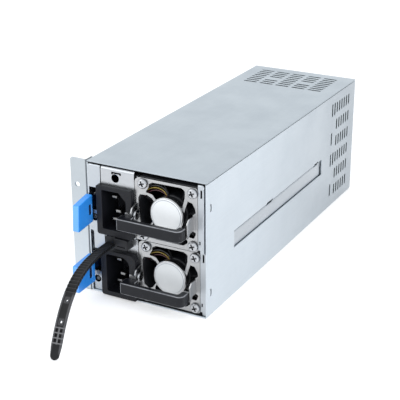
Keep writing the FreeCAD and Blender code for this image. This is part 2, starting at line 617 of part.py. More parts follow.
def module(p, off_y, off_z, upper):
    """One slide-out module; local y runs back from its front plane, local z up
    from the cage's bottom face."""
    base = (0, "-cage_depth/2+" + off_y, off_z)
    hw = "module_width/2"
    top = "face_top" if upper else "face_high"
    drop = 0.0 if upper else 0.9

    # tray: floor, both walls, rear wall and the two front strips
    led_x, led_z = (-34.2, 9.6) if upper else (-35.6, 8.1)
    detent = ((4.2, 11.5), (24.9, 30.1)) if upper else ((1.8, 9.0), (12.4, 17.6))
    parts = [
        box(p + "tray_floor", ("-module_width/2", hw), ("steel", "module_depth"), ("module_low", "module_low+steel")),
        box(p + "tray_left", ("-module_width/2", "-module_width/2+steel"), (0, "module_depth"), ("module_low", "module_high")),
        box(p + "tray_right", ("module_width/2-steel", hw), (0, "module_depth"), ("module_low", "module_high")),
        box(p + "tray_rear", ("-module_width/2", hw), ("module_depth-steel", "module_depth"), ("module_low", "module_high")),
        bent_strip(p + "strip_left", ("-module_width/2", -29.45), (-35.9, -29.45), top),
        bent_strip(p + "strip_right", (34.45, hw), (34.45 if upper else 35.4, 36.9), top),
    ]
    for i, (x, y) in enumerate(((-33, 44), (33, 44), (-33, 172), (33, 172))):
        parts.append(cyl(p + "tray_post_%d" % i, 2.5, "board_level-module_low-steel", (x, y, "module_low+steel")))
    raw = fuse(p + "tray_raw", parts)
    tools = [
        box(p + "tray_fan_gap", ("fan_x-fan_size/2-0.5", "fan_x+fan_size/2+0.5"), (-1, "fan_depth+2.3"), (-1, 3.0)),
        box(p + "latch_opening", (-37.4, -31.6), (-1, 2), (14.2 if upper else 13.2, 28.3)),
        box(p + "latch_side_slot", (-39, -37.0), (2.6, 9.4), (14.5, 22.5)),
        cyl(p + "led_hole", 2.3, 4, (led_x, -1, led_z), "+y"),
        box(p + "detent_window", (37.0, 39.0), detent[0], detent[1]),
        box(p + "strip_slot", (36.05, 37.1), (-1, 2), (34.8, 39.6)),
        box(p + "strip_nick", (35.2, 36.0), (-1, 2), (6.4, 8.6)),
        box(p + "tongue_opening", (-25.2, 25.2), ("module_depth-2", "module_depth+2"), (3.6, 7.0)),
    ]
    if not upper:
        tools.append(box(p + "strip_gap", (-39, -37.0), (-1, 2), (26.0, 39.2)))
    slots = []
    for i in range(14):
        slots.append(Part.makeBox(2.4, 4, 14.0, Vector(-31.5 + 4.6 * i, VAL["module_depth"] - 2, 20.0)))
    rear_tool = solids(p + "tray_rear_slots", slots)
    tray = cut(p + "tray_cut", raw, tools)
    node(p + "case_tray", cut(p + "case_tray", tray, [rear_tool]), base)

    # cover: top sheet with side flanges, cut away over the fan
    cover = fuse(p + "cover_raw", [
        box(p + "cover_top", ("-module_width/2+steel+0.1", "module_width/2-steel-0.1"), (2.2, "module_depth-steel-0.2"),
            ("module_high-steel", "module_high")),
        box(p + "cover_left", ("-module_width/2+steel+0.1", "-module_width/2+2*steel+0.1"), (30.6, "module_depth-steel-0.2"), (32, "module_high")),
        box(p + "cover_right", ("module_width/2-2*steel-0.1", "module_width/2-steel-0.1"), (30.6, "module_depth-steel-0.2"), (32, "module_high")),
    ])
    node(p + "case_cover", cut(p + "case_cover", cover, [
        box(p + "cover_fan_gap", ("fan_x-fan_size/2-0.5", 40), (-1, "fan_depth+2.3"), (30, 42))]), base)

    # front plate: bent sheet with a rolled top edge
    ix, iz = VAL["inlet_x"] + (0.0 if upper else 0.7), VAL["inlet_z"] - drop
    fp = body(p + "front_plate")
    s = sketch(fp, p + "front_plate_section", "YZ_Plane", -28.95)
    st, lo, hi = VAL["steel"], VAL["face_low"], VAL[top]
    loop(s, [(0, lo), (st, lo), (st, hi - st, 1.2), (9, hi - st), (9, hi), (0, hi, 2.0)])
    pad(fp, s, 22.35)
    s = sketch(fp, p + "front_plate_holes", "XZ_Plane", 2.0)
    rect(s, (ix - 9.2, ix + 9.2), (iz - 13.5, iz + 13.5))
    circle(s, -19.2, 36.4, 2.55)
    pocket(fp, s, 4.0)
    s = sketch(fp, p + "front_plate_notch", "XZ_Plane", 2.0)
    loop(s, [(-21.7, 38.6, 0.2), (-20.7, 38.6, 0.2), (-20.7, 39.2, 0.2), (-16.2, 39.2, 0.2), (-16.2, 38.6, 0.2), (-15.2, 38.6, 0.2),
             (-15.2, 40.2, 0.3), (-21.7, 40.2, 0.3)])
    pocket(fp, s, 4.5)
    node(p + "front_plate", fp, base)

    # fan guard: stamped pinwheel, raised centre, two forward legs for the grip
    fx, fz = VAL["fan_x"], VAL["fan_z"]
    g = body(p + "fan_guard")
    s = sketch(g, p + "guard_outline", "XZ_Plane", "-guard_thick")
    x0, x1, z0, z1 = -6.35, 34.2, 1.5, 40.2
    loop(s, [(x0, z0, 1.5), (x1, z0, 1.5), (x1, z1, 1.5), (x0, z1, 3.5)])

    def rel(pts, spin=0):
        out = []
        for q in pts:
            x, z = q[0], q[1]
            for _ in range(spin):
                x, z = z, -x
            out.append((fx + x, fz + z, q[2]))
        return out
    upper_gap = [(-14.5, 10.9, 0.4), (-12.6, 14.0, 0.8), (-12.3, 16.2, 0.9), (-10.0, 17.5, 0.9), (8.4, 17.7, 1.6), (10.9, 16.4, 1.6),
                 (10.7, 12.0, 1.5), (8.9, 5.2, 0.3), (5.6, 8.2, 1.0), (0.0, 9.8, 6.0), (-5.0, 8.5, 0.8), (-7.6, 7.2, 0.4),
                 (-10.2, 10.3, 2.0)]
    right_gap = [(12.6, 10.4, 0.4), (15.4, 9.9, 0.8), (17.2, 6.8, 1.2), (17.6, 4.4, 0.9), (15.6, 2.6, 0.5), (15.6, -6.8, 0.4),
                 (17.8, -7.9, 0.5), (16.4, -11.4, 0.8), (11.4, -10.9, 0.4), (9.2, -7.6, 0.6), (6.6, -6.4, 0.6), (9.4, -2.2, 3.0),
                 (10.0, 2.0, 0.8), (11.0, 5.4, 1.5)]
    left_gap = [(-19.4, 6.6, 1.2), (-18.2, 8.9, 0.8), (-13.4, 9.2, 1.5), (-10.2, 7.6, 1.0), (-8.7, 5.4, 0.4), (-9.9, 0.0, 4.0),
                (-9.2, -4.6, 0.5), (-12.6, -9.6, 1.5), (-15.0, -10.8, 0.6), (-18.4, -8.8, 1.2)]
    low_gap = [(-8.6, -5.2, 0.3), (-10.9, -9.0, 1.5), (-10.9, -14.8, 1.6), (-8.6, -17.0, 1.6), (9.6, -17.0, 0.9), (12.2, -15.0, 0.8),
               (12.3, -13.6, 0.8), (9.8, -10.6, 0.6), (5.2, -8.4, 1.0), (0.0, -9.8, 6.0), (-5.2, -8.4, 1.0)]
    for pts in (upper_gap, right_gap, left_gap, low_gap):
        loop(s, rel(pts))
    for sx_, sz_ in ((-1, -1), (-1, 1), (1, -1), (1, 1)):
        circle(s, fx + sx_ * 16.0, fz + sz_ * 16.0, 2.2)
    pad(g, s, "guard_thick")
    s = sketch(g, p + "guard_boss", "XZ_Plane", -0.4)
    circle(s, "fan_x", "fan_z", "boss_radius")
    pad(g, s, "boss_rise+0.4")
    doc.recompute()
    round_edges(g, lambda e: e.Curve.TypeId == "Part::GeomCircle" and abs(e.Curve.Radius - VAL["boss_radius"]) < 1e-4
                and abs(e.Curve.Center.y + VAL["boss_rise"]) < 1e-3, 0.7, p + "guard_boss_round")
    back = VAL["grip_front"] - VAL["grip_deep"]
    for nm, xl, crest in (("left", -5.2, [(0.4, 24.4), (-2.6, 24.4, 2.5), (-6.2, 23.2, 2.2), (-back + 0.02, 20.6, 1.5)]),
                          ("right", 31.0, [(0.4, 23.4), (-4.8, 23.4, 2.2), (-back + 0.02, 20.8, 1.8)])):
        s = sketch(g, p + "guard_leg_" + nm, "YZ_Plane", xl)
        loop(s, [(0.4, 14.4)] + crest + [(-back + 0.02, 12.0, 0.6), (-back + 1.2, 12.0, 0.6), (-4.4, 14.4, 2.0)])
        pad(g, s, 0.9)
    for nm, xl, xr, zt in (("left", -8.6, -4.3, 20.4), ("right", 27.6, 31.9, 18.2)):
        s = sketch(g, p + "guard_foot_" + nm, "XZ_Plane", back - 0.92)
        loop(s, [(xl, 12.0, 0.8), (xr, 12.0, 0.8), (xr, zt, 0.8), (xl, zt, 0.8)])
        pad(g, s, 0.9)
    doc.recompute()
    s = sketch(g, p + "guard_leg_hole", "YZ_Plane", -3.0)
    circle(s, -3.4, 18.1, 1.3)
    pocket(g, s, 4.0)
    s = sketch(g, p + "guard_foot_holes", "XZ_Plane", back + 1.0)
    circle(s, -6.9, 15.0, 1.3)
    circle(s, 29.0, 15.0, 1.3)
    pocket(g, s, 3.0)
    node(p + "fan_guard", g, base)

    screws = [pan_screw(p + "guard_screw_%d" % i, "fan_x" + a, 0, "fan_z" + b, "-y", 3.0, 1.9, 2.0, 13.0)
              for i, (a, b) in enumerate((("-fan_pitch/2", "+fan_pitch/2"), ("+fan_pitch/2", "+fan_pitch/2"),
                                          ("-fan_pitch/2", "-fan_pitch/2"), ("+fan_pitch/2", "-fan_pitch/2")))]
    node(p + "guard_screws", group(p + "guard_screws", screws), base)

    disc = cyl(p + "hub_label_disc", "boss_radius-0.7", 0.25, ("fan_x", "-boss_rise", "fan_z"), "-y")
    node(p + "hub_label", group(p + "hub_label", [disc]), base)

    # fan frame with its bore, screw tubes, rear struts, motor plate and shaft
    fan = box(p + "fan_block", ("fan_x-fan_size/2", "fan_x+fan_size/2"), ("guard_thick", "guard_thick+fan_depth"),
              ("fan_z-fan_size/2", "fan_z+fan_size/2"))
    fan_r = fillet(p + "fan_block_round", fan, lambda m, a, e: a == "y", 2.6)
    bore = cyl(p + "fan_bore", "fan_bore", 40, ("fan_x", -2, "fan_z"), "+y")
    mouth = cone(p + "fan_mouth", "fan_bore+0.6", "fan_bore", 3.0, ("fan_x", "guard_thick-0.01", "fan_z"), "+y")
    tubes = [cyl(p + "fan_tube_%d" % i, 2.15, 40, ("fan_x" + a, -2, "fan_z" + b), "+y")
             for i, (a, b) in enumerate((("-fan_pitch/2", "+fan_pitch/2"), ("+fan_pitch/2", "+fan_pitch/2"),
                                         ("-fan_pitch/2", "-fan_pitch/2"), ("+fan_pitch/2", "-fan_pitch/2")))]
    waist = [box(p + "fan_waist_%d" % i, x, ("guard_thick+4.5", "guard_thick+fan_depth-4.5"), z) for i, (x, z) in enumerate((
        (("fan_x-fan_size/2-1", "fan_x-fan_size/2+3.4"), ("fan_z+11.6", "fan_z+fan_size/2+1")),
        (("fan_x+fan_size/2-3.4", "fan_x+fan_size/2+1"), ("fan_z+11.6", "fan_z+fan_size/2+1")),
        (("fan_x-fan_size/2-1", "fan_x-fan_size/2+3.4"), ("fan_z-fan_size/2-1", "fan_z-11.6")),
        (("fan_x+fan_size/2-3.4", "fan_x+fan_size/2+1"), ("fan_z-fan_size/2-1", "fan_z-11.6"))))]
    ring = cut(p + "fan_ring", fan_r, [bore, mouth] + tubes)
    y_back = num("guard_thick+fan_depth")
    arms = []
    for k in range(5):
        arm = Part.makeBox(20.0, 2.4, 2.0, Vector(0, -2.4, -1.0))
        arm.rotate(Vector(0, 0, 0), Vector(0, 1, 0), 18 + 72 * k)
        arm.translate(Vector(fx, y_back, fz))
        arms.append(arm)
    ring_outer = Part.makeCylinder(VAL["fan_bore"] + 0.3, 4, Vector(fx, y_back - 3, fz), Vector(0, 1, 0))
    star = arms[0].fuse(arms[1:]).common(ring_outer)
    star_o = solids(p + "fan_struts", [star])
    motor = cyl(p + "fan_motor_plate", "hub_radius", 3.0, ("fan_x", "guard_thick+fan_depth-3.0", "fan_z"), "+y")
    shaft = cyl(p + "fan_shaft", 1.5, 18.0, ("fan_x", "guard_thick+fan_depth-2.5", "fan_z"), "-y")
    node(p + "fan_frame", fuse(p + "fan_frame", [ring, star_o, motor, shaft]), base)

    # rotor: cup-shaped hub with seven pitched blades and a blind bore
    yh0, yh1 = 4.2, 25.2
    hub = Part.makeCylinder(VAL["hub_radius"] - 0.2, yh1 - yh0, Vector(fx, yh0, fz), Vector(0, 1, 0))
    hub = hub.makeFillet(1.2, [e for e in hub.Edges if e.Curve.TypeId == "Part::GeomCircle" and e.Curve.Center.y < yh0 + 0.1])
    blades = []
    rt, rh = VAL["rotor_tip"], VAL["hub_radius"] - 1.4
    for k in range(7):
        secs = []
        for t in range(5):
            u = t / 4.0
            y = 5.6 + 17.0 * u
            ang = math.radians(360.0 / 7 * k + 50.0 * u - 8.0 * u * u)
            lean = math.radians(9.0)
            ca, sa = math.cos(ang), math.sin(ang)
            cb, sb = math.cos(ang + lean), math.sin(ang + lean)
            pi, po = (rh * ca, rh * sa), (rt * cb, rt * sb)
            dx, dz = po[0] - pi[0], po[1] - pi[1]
            ln = math.hypot(dx, dz)
            nx, nz = -dz / ln * 0.45, dx / ln * 0.45
            quad = [Vector(fx + pi[0] + nx, y, fz + pi[1] + nz), Vector(fx + po[0] + nx * 0.7, y, fz + po[1] + nz * 0.7),
                    Vector(fx + po[0] - nx * 0.7, y, fz + po[1] - nz * 0.7), Vector(fx + pi[0] - nx, y, fz + pi[1] - nz)]
            secs.append(Part.makePolygon(quad + [quad[0]]))
        blades.append(Part.makeLoft(secs, True, True))
    rotor = hub.fuse(blades)
    tip = Part.makeCylinder(rt, 30, Vector(fx, 0, fz), Vector(0, 1, 0))
    rotor = rotor.common(tip)
    rotor = rotor.cut(Part.makeCylinder(1.55, 20.0, Vector(fx, 7.5, fz), Vector(0, 1, 0)))
    rot = solids(p + "fan_rotor", [rotor.Solids[0] if len(rotor.Solids) == 1 else rotor])
    rot.Placement = Placement(Vector(0, num(base[1]), num(base[2])), Rotation())
    node(p + "fan_rotor", rot)

    # three fan leads that run round the top of the bore, in front of the blades
    leads = []
    for i, (rr, yy) in enumerate(((17.9, 2.3), (16.6, 2.5), (15.3, 2.4))):
        a0, a1 = math.radians(140), math.radians(60 - 6 * i)
        c = Vector(fx, yy, fz)
        pt = lambda a: c + Vector(rr * math.cos(a), 0, rr * math.sin(a))
        arc = Part.Arc(pt(a0), pt((a0 + a1) / 2), pt(a1)).toShape()
        wire = Part.Wire([arc])
        tan = Vector(-math.sin(a0), 0, math.cos(a0))
        prof = Part.Wire([Part.makeCircle(0.55, pt(a0), tan)])
        leads.append(wire.makePipeShell([prof], True, False))
    ld = solids(p + "fan_wires", leads)
    ld.Placement = Placement(Vector(0, num(base[1]), num(base[2])), Rotation())
    node(p + "fan_wires", ld)

    # mains inlet: flange, body with chamfered or rounded recess, three blades
    rise = 3.0 if upper else 4.2
    b = body(p + "inlet_housing")
    s = sketch(b, p + "inlet_flange", "XZ_Plane", -0.0)
    w2, fl, fh = VAL["flange_width"] / 2, VAL["flange_low"], VAL["flange_high"] - drop
    big = 1.2 if upper else 5.0
    loop(s, [(ix - w2, fl, 1.6), (ix + w2, fl, 1.6), (ix + w2, fh, big), (ix - w2, fh, 1.2)])
    pad(b, s, rise)
    doc.recompute()
    round_edges(b, lambda e: abs(e.CenterOfMass.y + rise) < 1e-3, 0.5, p + "inlet_flange_round")
    s = sketch(b, p + "inlet_body", "XZ_Plane", -20.0)
    rect(s, (ix - 9.05, ix + 9.05), (iz - 13.3, iz + 13.3))
    pad(b, s, 20.0)
    s = sketch(b, p + "inlet_recess", "XZ_Plane", 5.0)
    rw, rh_ = VAL["recess_width"] / 2, VAL["recess_rise"] / 2
    if upper:
        loop(s, [(ix - rw, iz - rh_, 0.8), (ix + rw - 4.8, iz - rh_, 0.6), (ix + rw, iz - rh_ + 4.8, 0.6),
                 (ix + rw, iz + rh_ - 4.8, 0.6), (ix + rw - 4.8, iz + rh_, 0.6), (ix - rw, iz + rh_, 0.8)])
    else:
        loop(s, [(ix - rw, iz - rh_, 1.2), (ix + rw - 0.4, iz - rh_, 5.6), (ix + rw - 0.4, iz + rh_, 5.6),
                 (ix - rw, iz + rh_, 1.2)])
    pocket(b, s, VAL["recess_deep"] + 2.0)
    side = -2.6 if upper else -3.2
    blade_at = ((side, 6.9, 1.7, 0.8, 2.0), (side, -7.0, 1.7, 0.8, 2.0), (side + 4.6, 0.0, 1.7, 0.8, -1.5))
    s = sketch(b, p + "inlet_blade_slots", "XZ_Plane", 4.0)
    for dx, dz, wx, wz, _ in blade_at:
        xa, xb, za, zb = ix + dx - wx - 0.02, ix + dx + wx + 0.02, iz + dz - wz - 0.02, iz + dz + wz + 0.02
        loop(s, [(xa, za, 0.05), (xb, za, 0.05), (xb, zb, 0.05), (xa, zb, 0.05)])
    pocket(b, s, 30.0)
    node(p + "inlet_housing", b, base)

    pins = []
    yb = VAL["recess_deep"] - 3.0
    for i, (dx, dz, wx, wz, ya) in enumerate(blade_at):
        blade = box(p + "inlet_blade_%d" % i, (ix + dx - wx, ix + dx + wx), (ya, yb + 9.5), (iz + dz - wz, iz + dz + wz))
        pins.append(fillet(p + "inlet_blade_round_%d" % i, blade, lambda m, a, e: m.y < ya + 0.1, 0.5))
    node(p + "inlet_pins", group(p + "inlet_pins", pins), base)

    # grip: moulded bar, rounded at the right end, with a light lip all round
    gr = body(p + "handle_grip")
    s = sketch(gr, p + "grip_outline", "XY_Plane", "grip_low" if upper else "grip_low-0.9")
    gf, gd = (VAL["grip_front"], VAL["grip_deep"]) if upper else (VAL["grip_front"] + 0.7, VAL["grip_deep"] + 0.7)
    loop(s, [(-10.4, -gf, 0.9), (30.8, -gf, 3.6), (30.8, -gf + gd, 0.8), (26.6, -gf + gd, 0.8), (26.6, -gf + 3.3, 1.2),
             (-2.4, -gf + 3.3, 1.2), (-2.4, -gf + gd, 0.8), (-10.4, -gf + gd, 0.8)])
    pad(gr, s, "grip_high-grip_low")
    doc.recompute()
    round_edges(gr, lambda e: (abs(e.CenterOfMass.z - VAL["grip_low"] + drop) < 1e-3 or abs(e.CenterOfMass.z - VAL["grip_high"] + drop) < 1e-3)
                , 0.6, p + "grip_edges")
    s = sketch(gr, p + "grip_screw_bores", "XZ_Plane", gf - gd - 0.5)
    circle(s, -6.9, 15.0, 0.95)
    circle(s, 29.0, 15.0, 0.95)
    pocket(gr, s, 6.0, True)
    node(p + "handle_grip", gr, base)
    hs = [pan_screw(p + "handle_screw_%d" % i, x, -back + 0.92, 15.0, "+y", 1.6, 1.1, 0.9, 5.4) for i, x in enumerate((-6.9, 29.0))]
    node(p + "handle_screws", group(p + "handle_screws", hs), base)
    node(p + "leg_screw", pan_screw(p + "leg_screw", -4.3, -3.4, 18.1, "+x", 3.0, 1.5, 1.25, 1.3), base)

    # latch lever: finger tab, arm, pivot boss and catch nose
    lv = body(p + "latch_lever")
    tt = VAL["tab_thick"]
    xr = -34.95
    s = sketch(lv, p + "latch_tab", "YZ_Plane", xr - tt)
    tl, th, tr = VAL["tab_low"], VAL["tab_high"], VAL["tab_reach"]
    if upper:
        tab = [(-0.45, tl + 1.5, 0.8), (-0.45, th, 0.8), (-tr, th - 2.6, 1.0), (-tr - 1.1, tl, 1.0)]
        hole = (-4.6, -2.4, 12.0, 18.4)
    else:
        tab = [(-3.3, tl + 2.8, 0.8), (-3.3, th + 1.8, 0.8), (-tr - 5.7, th + 0.3, 1.0), (-tr - 6.3, tl + 2.2, 1.0)]
        hole = (-9.3, -6.9, 12.1, 20.6)
    loop(s, tab)
    h0, h1, h2, h3 = hole
    loop(s, [(h0, h2, 0.5), (h1, h2, 0.5), (h1, h3, 0.5), (h0, h3, 0.5)])
    pad(lv, s, "tab_thick")
    doc.recompute()
    round_edges(lv, lambda e: (abs(e.CenterOfMass.x - xr) < 1e-3 or abs(e.CenterOfMass.x - (xr - tt)) < 1e-3)
                and not (h0 - 0.2 < e.CenterOfMass.y < h1 + 0.2 and h2 - 0.2 < e.CenterOfMass.z < h3 + 0.2), 0.6, p + "latch_tab_round")
    s = sketch(lv, p + "latch_arm", "XY_Plane", 15.0)
    px, py = VAL["pivot_x"], VAL["pivot_y"]
    ya = -1.2 if upper else -4.2
    loop(s, [(-37.15, ya), (-36.0, ya), (-35.9, 6.0, 2.0), (-34.6, 11.0, 1.5), (-33.4, 13.2, 1.0), (-33.6, 16.2, 1.6),
             (-36.9, 16.2, 0.2), (-37.15, 8.6), (-38.15, 7.4), (-38.15, 5.4), (-37.15, 3.4)])
    pad(lv, s, 7.0)
    doc.recompute()
    s = sketch(lv, p + "latch_bore", "XY_Plane", 30.0)
    circle(s, "pivot_x", "pivot_y", "pin_radius+pin_play")
    pocket(lv, s, 25.0)
    node(p + "latch_lever", lv, base)
    pin = cyl(p + "latch_pin_rod", "pin_radius", "module_high-module_low-2*steel", ("pivot_x", "pivot_y", "module_low+steel"))
    node(p + "latch_pin", group(p + "latch_pin", [pin]), base)

    led = fuse(p + "led_raw", [cyl(p + "led_barrel", 1.5, 6.0, (led_x, 0.9, led_z), "+y"),
                               cone(p + "led_nose", 1.5, 1.0, 0.6, (led_x, 0.9, led_z), "-y")])
    node(p + "status_led", group(p + "status_led", [led]), base)

    # inside: board with rear tongue, transformer, capacitors, heatsinks, chokes
    bt, bl = VAL["board_thick"], VAL["board_level"]
    brd = body(p + "main_board")
    s = sketch(brd, p + "board_outline", "XY_Plane", "board_level")
    loop(s, [(-36.2, 24.0, 1), (-7.0, 24.0, 1), (-7.0, 33.0), (36.2, 33.0, 1), (36.2, 182.5, 1), (24.2, 182.5), (24.2, 193.0, 0.8),
             (-24.2, 193.0, 0.8), (-24.2, 182.5), (-36.2, 182.5, 1)])
    pad(brd, s, "board_thick")
    node(p + "main_board", brd, base)

    t0 = bl + bt
    core = cut(p + "core", box(p + "core_block", (-17, 17), (96, 126), (t0, t0 + 27)),
               [box(p + "core_gap_a", (-12, -6), (95, 127), (t0 + 5, t0 + 22)),
                box(p + "core_gap_b", (6, 12), (95, 127), (t0 + 5, t0 + 22))])
    wind = cut(p + "winding", fillet(p + "winding_round", box(p + "winding_block", (-11.6, 11.6), (91, 131), (t0 + 5.4, t0 + 21.6)),
                                     lambda m, a, e: a == "z", 5.0),
               [box(p + "winding_bore", (-6.1, 6.1), (95.8, 126.2), (t0, t0 + 30))])
    node(p + "transformer", group(p + "transformer", [core, wind]), base)

    caps = []
    for i, (x, y) in enumerate(((-22, 56), (-22, 79))):
        can = cyl(p + "can_%d" % i, 10.5, 30.0, (x - 13, y, t0 + 10.6), "+x")
        groove = torus(p + "can_groove_%d" % i, 11.1, 0.9, (x - 9.6, y, t0 + 10.6), "+x")
        caps.append(cut(p + "cap_%d" % i, can, [groove]))
    node(p + "bulk_capacitors", group(p + "bulk_capacitors", caps), base)

    sinks = []
    for i, (x0_, y0_, ly) in enumerate(((22.0, 44.0, 62.0), (22.0, 134.0, 42.0), (-34.0, 138.0, 38.0))):
        plate = box(p + "sink_plate_%d" % i, (x0_, x0_ + 3), (y0_, y0_ + ly), (t0, t0 + 26))
        fins = [box(p + "sink_fin_%d_%d" % (i, k), (x0_, x0_ + 12), (y0_, y0_ + ly), (t0 + 4.5 + 4.2 * k, t0 + 5.7 + 4.2 * k)) for k in range(5)]
        sinks.append(fuse(p + "sink_%d" % i, [plate] + fins))
    node(p + "heatsinks", group(p + "heatsinks", sinks), base)

    chokes = []
    for i, (x, y, r1, r2) in enumerate(((6, 50, 8.0, 4.0), (6, 76, 8.0, 4.0), (-2, 156, 8.6, 4.6))):
        chokes.append(torus(p + "choke_%d" % i, r1, r2, (x, y, t0 + r1 + r2 + 0.3), "+x"))
    node(p + "filter_chokes", group(p + "filter_chokes", chokes), base)


module("lower_", "lower_front", 0, False)
module("upper_", "upper_front", "module_pitch", True)

# ================================================= plug strap and its mount
LY = num("-cage_depth/2+lower_front")
sm = body("strap_mount")
s = sketch(sm, "strap_mount_head", "XZ_Plane")
loop(s, [(-19.3, 33.8, 0.6), (-10.4, 33.8, 0.8), (-10.4, 40.3, 0.8), (-19.3, 40.3, 0.4)])
pad(sm, s, 5.9)
doc.recompute()
s = sketch(sm, "strap_mount_side", "XZ_Plane")
loop(s, [(-25.9, 33.3, 0.8), (-19.0, 33.3), (-19.0, 40.5), (-25.9, 40.5, 0.8)])
pad(sm, s, 4.6)
doc.recompute()
s = sketch(sm, "strap_mount_pin", "XZ_Plane", -4.0)
circle(s, -19.2, 36.4, 2.45)
pad(sm, s, 4.0)
doc.recompute()
s = sketch(sm, "strap_mount_groove", "XZ_Plane", 7.0)
loop(s, [(-17.4, 35.4, 0.3), (-12.0, 35.4, 0.3), (-12.0, 36.2, 0.3), (-17.4, 36.2, 0.3)])
pocket(sm, s, 1.9)
round_edges(sm, lambda e: abs(e.CenterOfMass.y + 5.9) < 1e-3 and e.CenterOfMass.z > 40.0, 0.5, "strap_mount_round")
node("strap_mount", sm, (0, "-cage_depth/2+lower_front", 0))

# strap: flat band in an upright plane; route of (distance out, height) points
ROUTE = [(-1.6, 35.35), (10.4, 36.9), (22.8, 37.7), (35.4, 37.3), (47.4, 34.4), (57.6, 28.0), (65.7, 19.1), (72.2, 9.1), (76.9, 0.85)]
START = Vector(-22.5, F - 3.4, 0)
AIM = Vector(11.3, -75.9, 0).normalize()


def band(points, thick, width):
    """Flat strap along straight runs joined by tangent arcs."""
    pts = [Vector(a, b, 0) for a, b in points]
    edges, radii, t_in = [], [], pts[0]
    for i in range(1, len(pts) - 1):
        a, b, c = pts[i - 1], pts[i], pts[i + 1]
        u, w = (a - b).normalize(), (c - b).normalize()
        turn = math.pi - u.getAngle(w)
        short = min((a - b).Length, (c - b).Length)
        r = 0.45 * short / math.tan(turn / 2)
        t = 0.45 * short
        t1, t2 = b + u * t, b + w * t
        cen = b + (u + w).normalize() * (r / math.cos(turn / 2))
        mid = cen + (b - cen).normalize() * r
        edges.append(Part.LineSegment(t_in, t1).toShape())
        edges.append(Part.Arc(t1, mid, t2).toShape())
        radii.append((r, math.degrees(turn)))
        t_in = t2
    edges.append(Part.LineSegment(t_in, pts[-1]).toShape())
    path = Part.Wire(edges)
    first = (pts[1] - pts[0]).normalize()
    side = Vector(-first.y, first.x, 0)
    prof = Part.makePolygon([pts[0] + side * (thick / 2) + Vector(0, 0, -width / 2),
                             pts[0] + side * (thick / 2) + Vector(0, 0, width / 2),
                             pts[0] - side * (thick / 2) + Vector(0, 0, width / 2),
                             pts[0] - side * (thick / 2) + Vector(0, 0, -width / 2),
                             pts[0] + side * (thick / 2) + Vector(0, 0, -width / 2)])
    return path.makePipeShell([prof], True, False), path.Length, radii


strap, strap_length, radii = band(ROUTE, VAL["strap_thick"], VAL["strap_width"])
print("strap length %.2f mm" % strap_length)
print("strap radii", ["%.1f (turn %.1f)" % r for r in radii])
section = VAL["strap_thick"] * VAL["strap_width"]
print("strap volume %.2f, section x length %.2f" % (strap.Volume, section * strap_length))
if abs(strap.Volume / (section * strap_length) - 1) > 0.01:
    raise RuntimeError("strap volume is off")
st = doc.addObject("Part::Feature", "retention_strap")
st.Shape = strap
m = FreeCAD.Matrix()
ax, ay, az = AIM, Vector(0, 0, 1), AIM.cross(Vector(0, 0, 1))
m.A11, m.A21, m.A31 = ax.x, ax.y, ax.z
m.A12, m.A22, m.A32 = ay.x, ay.y, ay.z
m.A13, m.A23, m.A33 = az.x, az.y, az.z
m.A14, m.A24, m.A34 = START.x, START.y, START.z
st.Placement = Placement(m)
node("retention_strap", st)
for a, b in ROUTE:
    q = START + AIM * a
    print("route point (%.5f, %.5f, %.5f)" % (q.x / 1000, q.y / 1000, b / 1000))

# ------------------------------------------------------------ check and write
doc.recompute()
bad = []
for o in doc.Objects:
    if "Invalid" in o.State or "Error" in o.State:
        bad.append((o.Name, list(o.State)))
for name, o in NODES.items():
    shp = o.Shape
    if shp.isNull() or not shp.isValid() or shp.Volume <= 0 or not shp.Solids:
        bad.append((name, "shape"))
if bad:
    raise RuntimeError("failed objects: %s" % bad)
os.makedirs("parts", exist_ok=True)
for name, o in NODES.items():
    o.Shape.exportStep("parts/%s.step" % name)
print(len(NODES), "nodes written")
for name, o in NODES.items():
    bb = o.Shape.BoundBox
    print("%-24s solids %d vol %9.1f  x %.2f..%.2f y %.2f..%.2f z %.2f..%.2f" % (
        name, len(o.Shape.Solids), o.Shape.Volume, bb.XMin, bb.XMax, bb.YMin, bb.YMax, bb.ZMin, bb.ZMax))
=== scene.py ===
import json
import math
import random

import bmesh
import bpy
from mathutils import Matrix, Vector
from mathutils.bvhtree import BVHTree


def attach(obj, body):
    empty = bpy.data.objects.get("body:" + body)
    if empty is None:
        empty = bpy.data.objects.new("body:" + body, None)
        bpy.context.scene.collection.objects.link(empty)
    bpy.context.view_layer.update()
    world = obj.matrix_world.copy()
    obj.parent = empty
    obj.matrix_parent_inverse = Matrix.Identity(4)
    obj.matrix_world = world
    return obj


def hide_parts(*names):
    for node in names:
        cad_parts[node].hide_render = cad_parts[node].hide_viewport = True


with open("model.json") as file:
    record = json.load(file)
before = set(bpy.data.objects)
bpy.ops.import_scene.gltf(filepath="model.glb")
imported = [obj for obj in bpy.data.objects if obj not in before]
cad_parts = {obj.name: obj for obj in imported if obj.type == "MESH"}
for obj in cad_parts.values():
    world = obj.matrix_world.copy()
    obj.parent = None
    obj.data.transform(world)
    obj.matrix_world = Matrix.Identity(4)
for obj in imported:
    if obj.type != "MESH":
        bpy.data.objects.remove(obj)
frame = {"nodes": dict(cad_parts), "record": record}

MM = 0.001
scene = bpy.context.scene
COL = scene.collection
NODES = frame["nodes"]
BODY = {n: b for b, ns in frame["record"]["behaviour"]["bodies"].items() for n in ns}


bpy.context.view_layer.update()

# ------------------------------------------------------------------- camera
def look(az, el, roll):
    a, e, r = (math.radians(v) for v in (az, el, roll))
    back = Vector((math.sin(a) * math.cos(e), -math.cos(a) * math.cos(e), math.sin(e)))
    right = Vector((0, 0, 1)).cross(back).normalized()
    up = back.cross(right)
    rr = right * math.cos(r) + up * math.sin(r)
    uu = up * math.cos(r) - right * math.sin(r)
    return Matrix((rr, uu, back)).transposed().to_4x4()


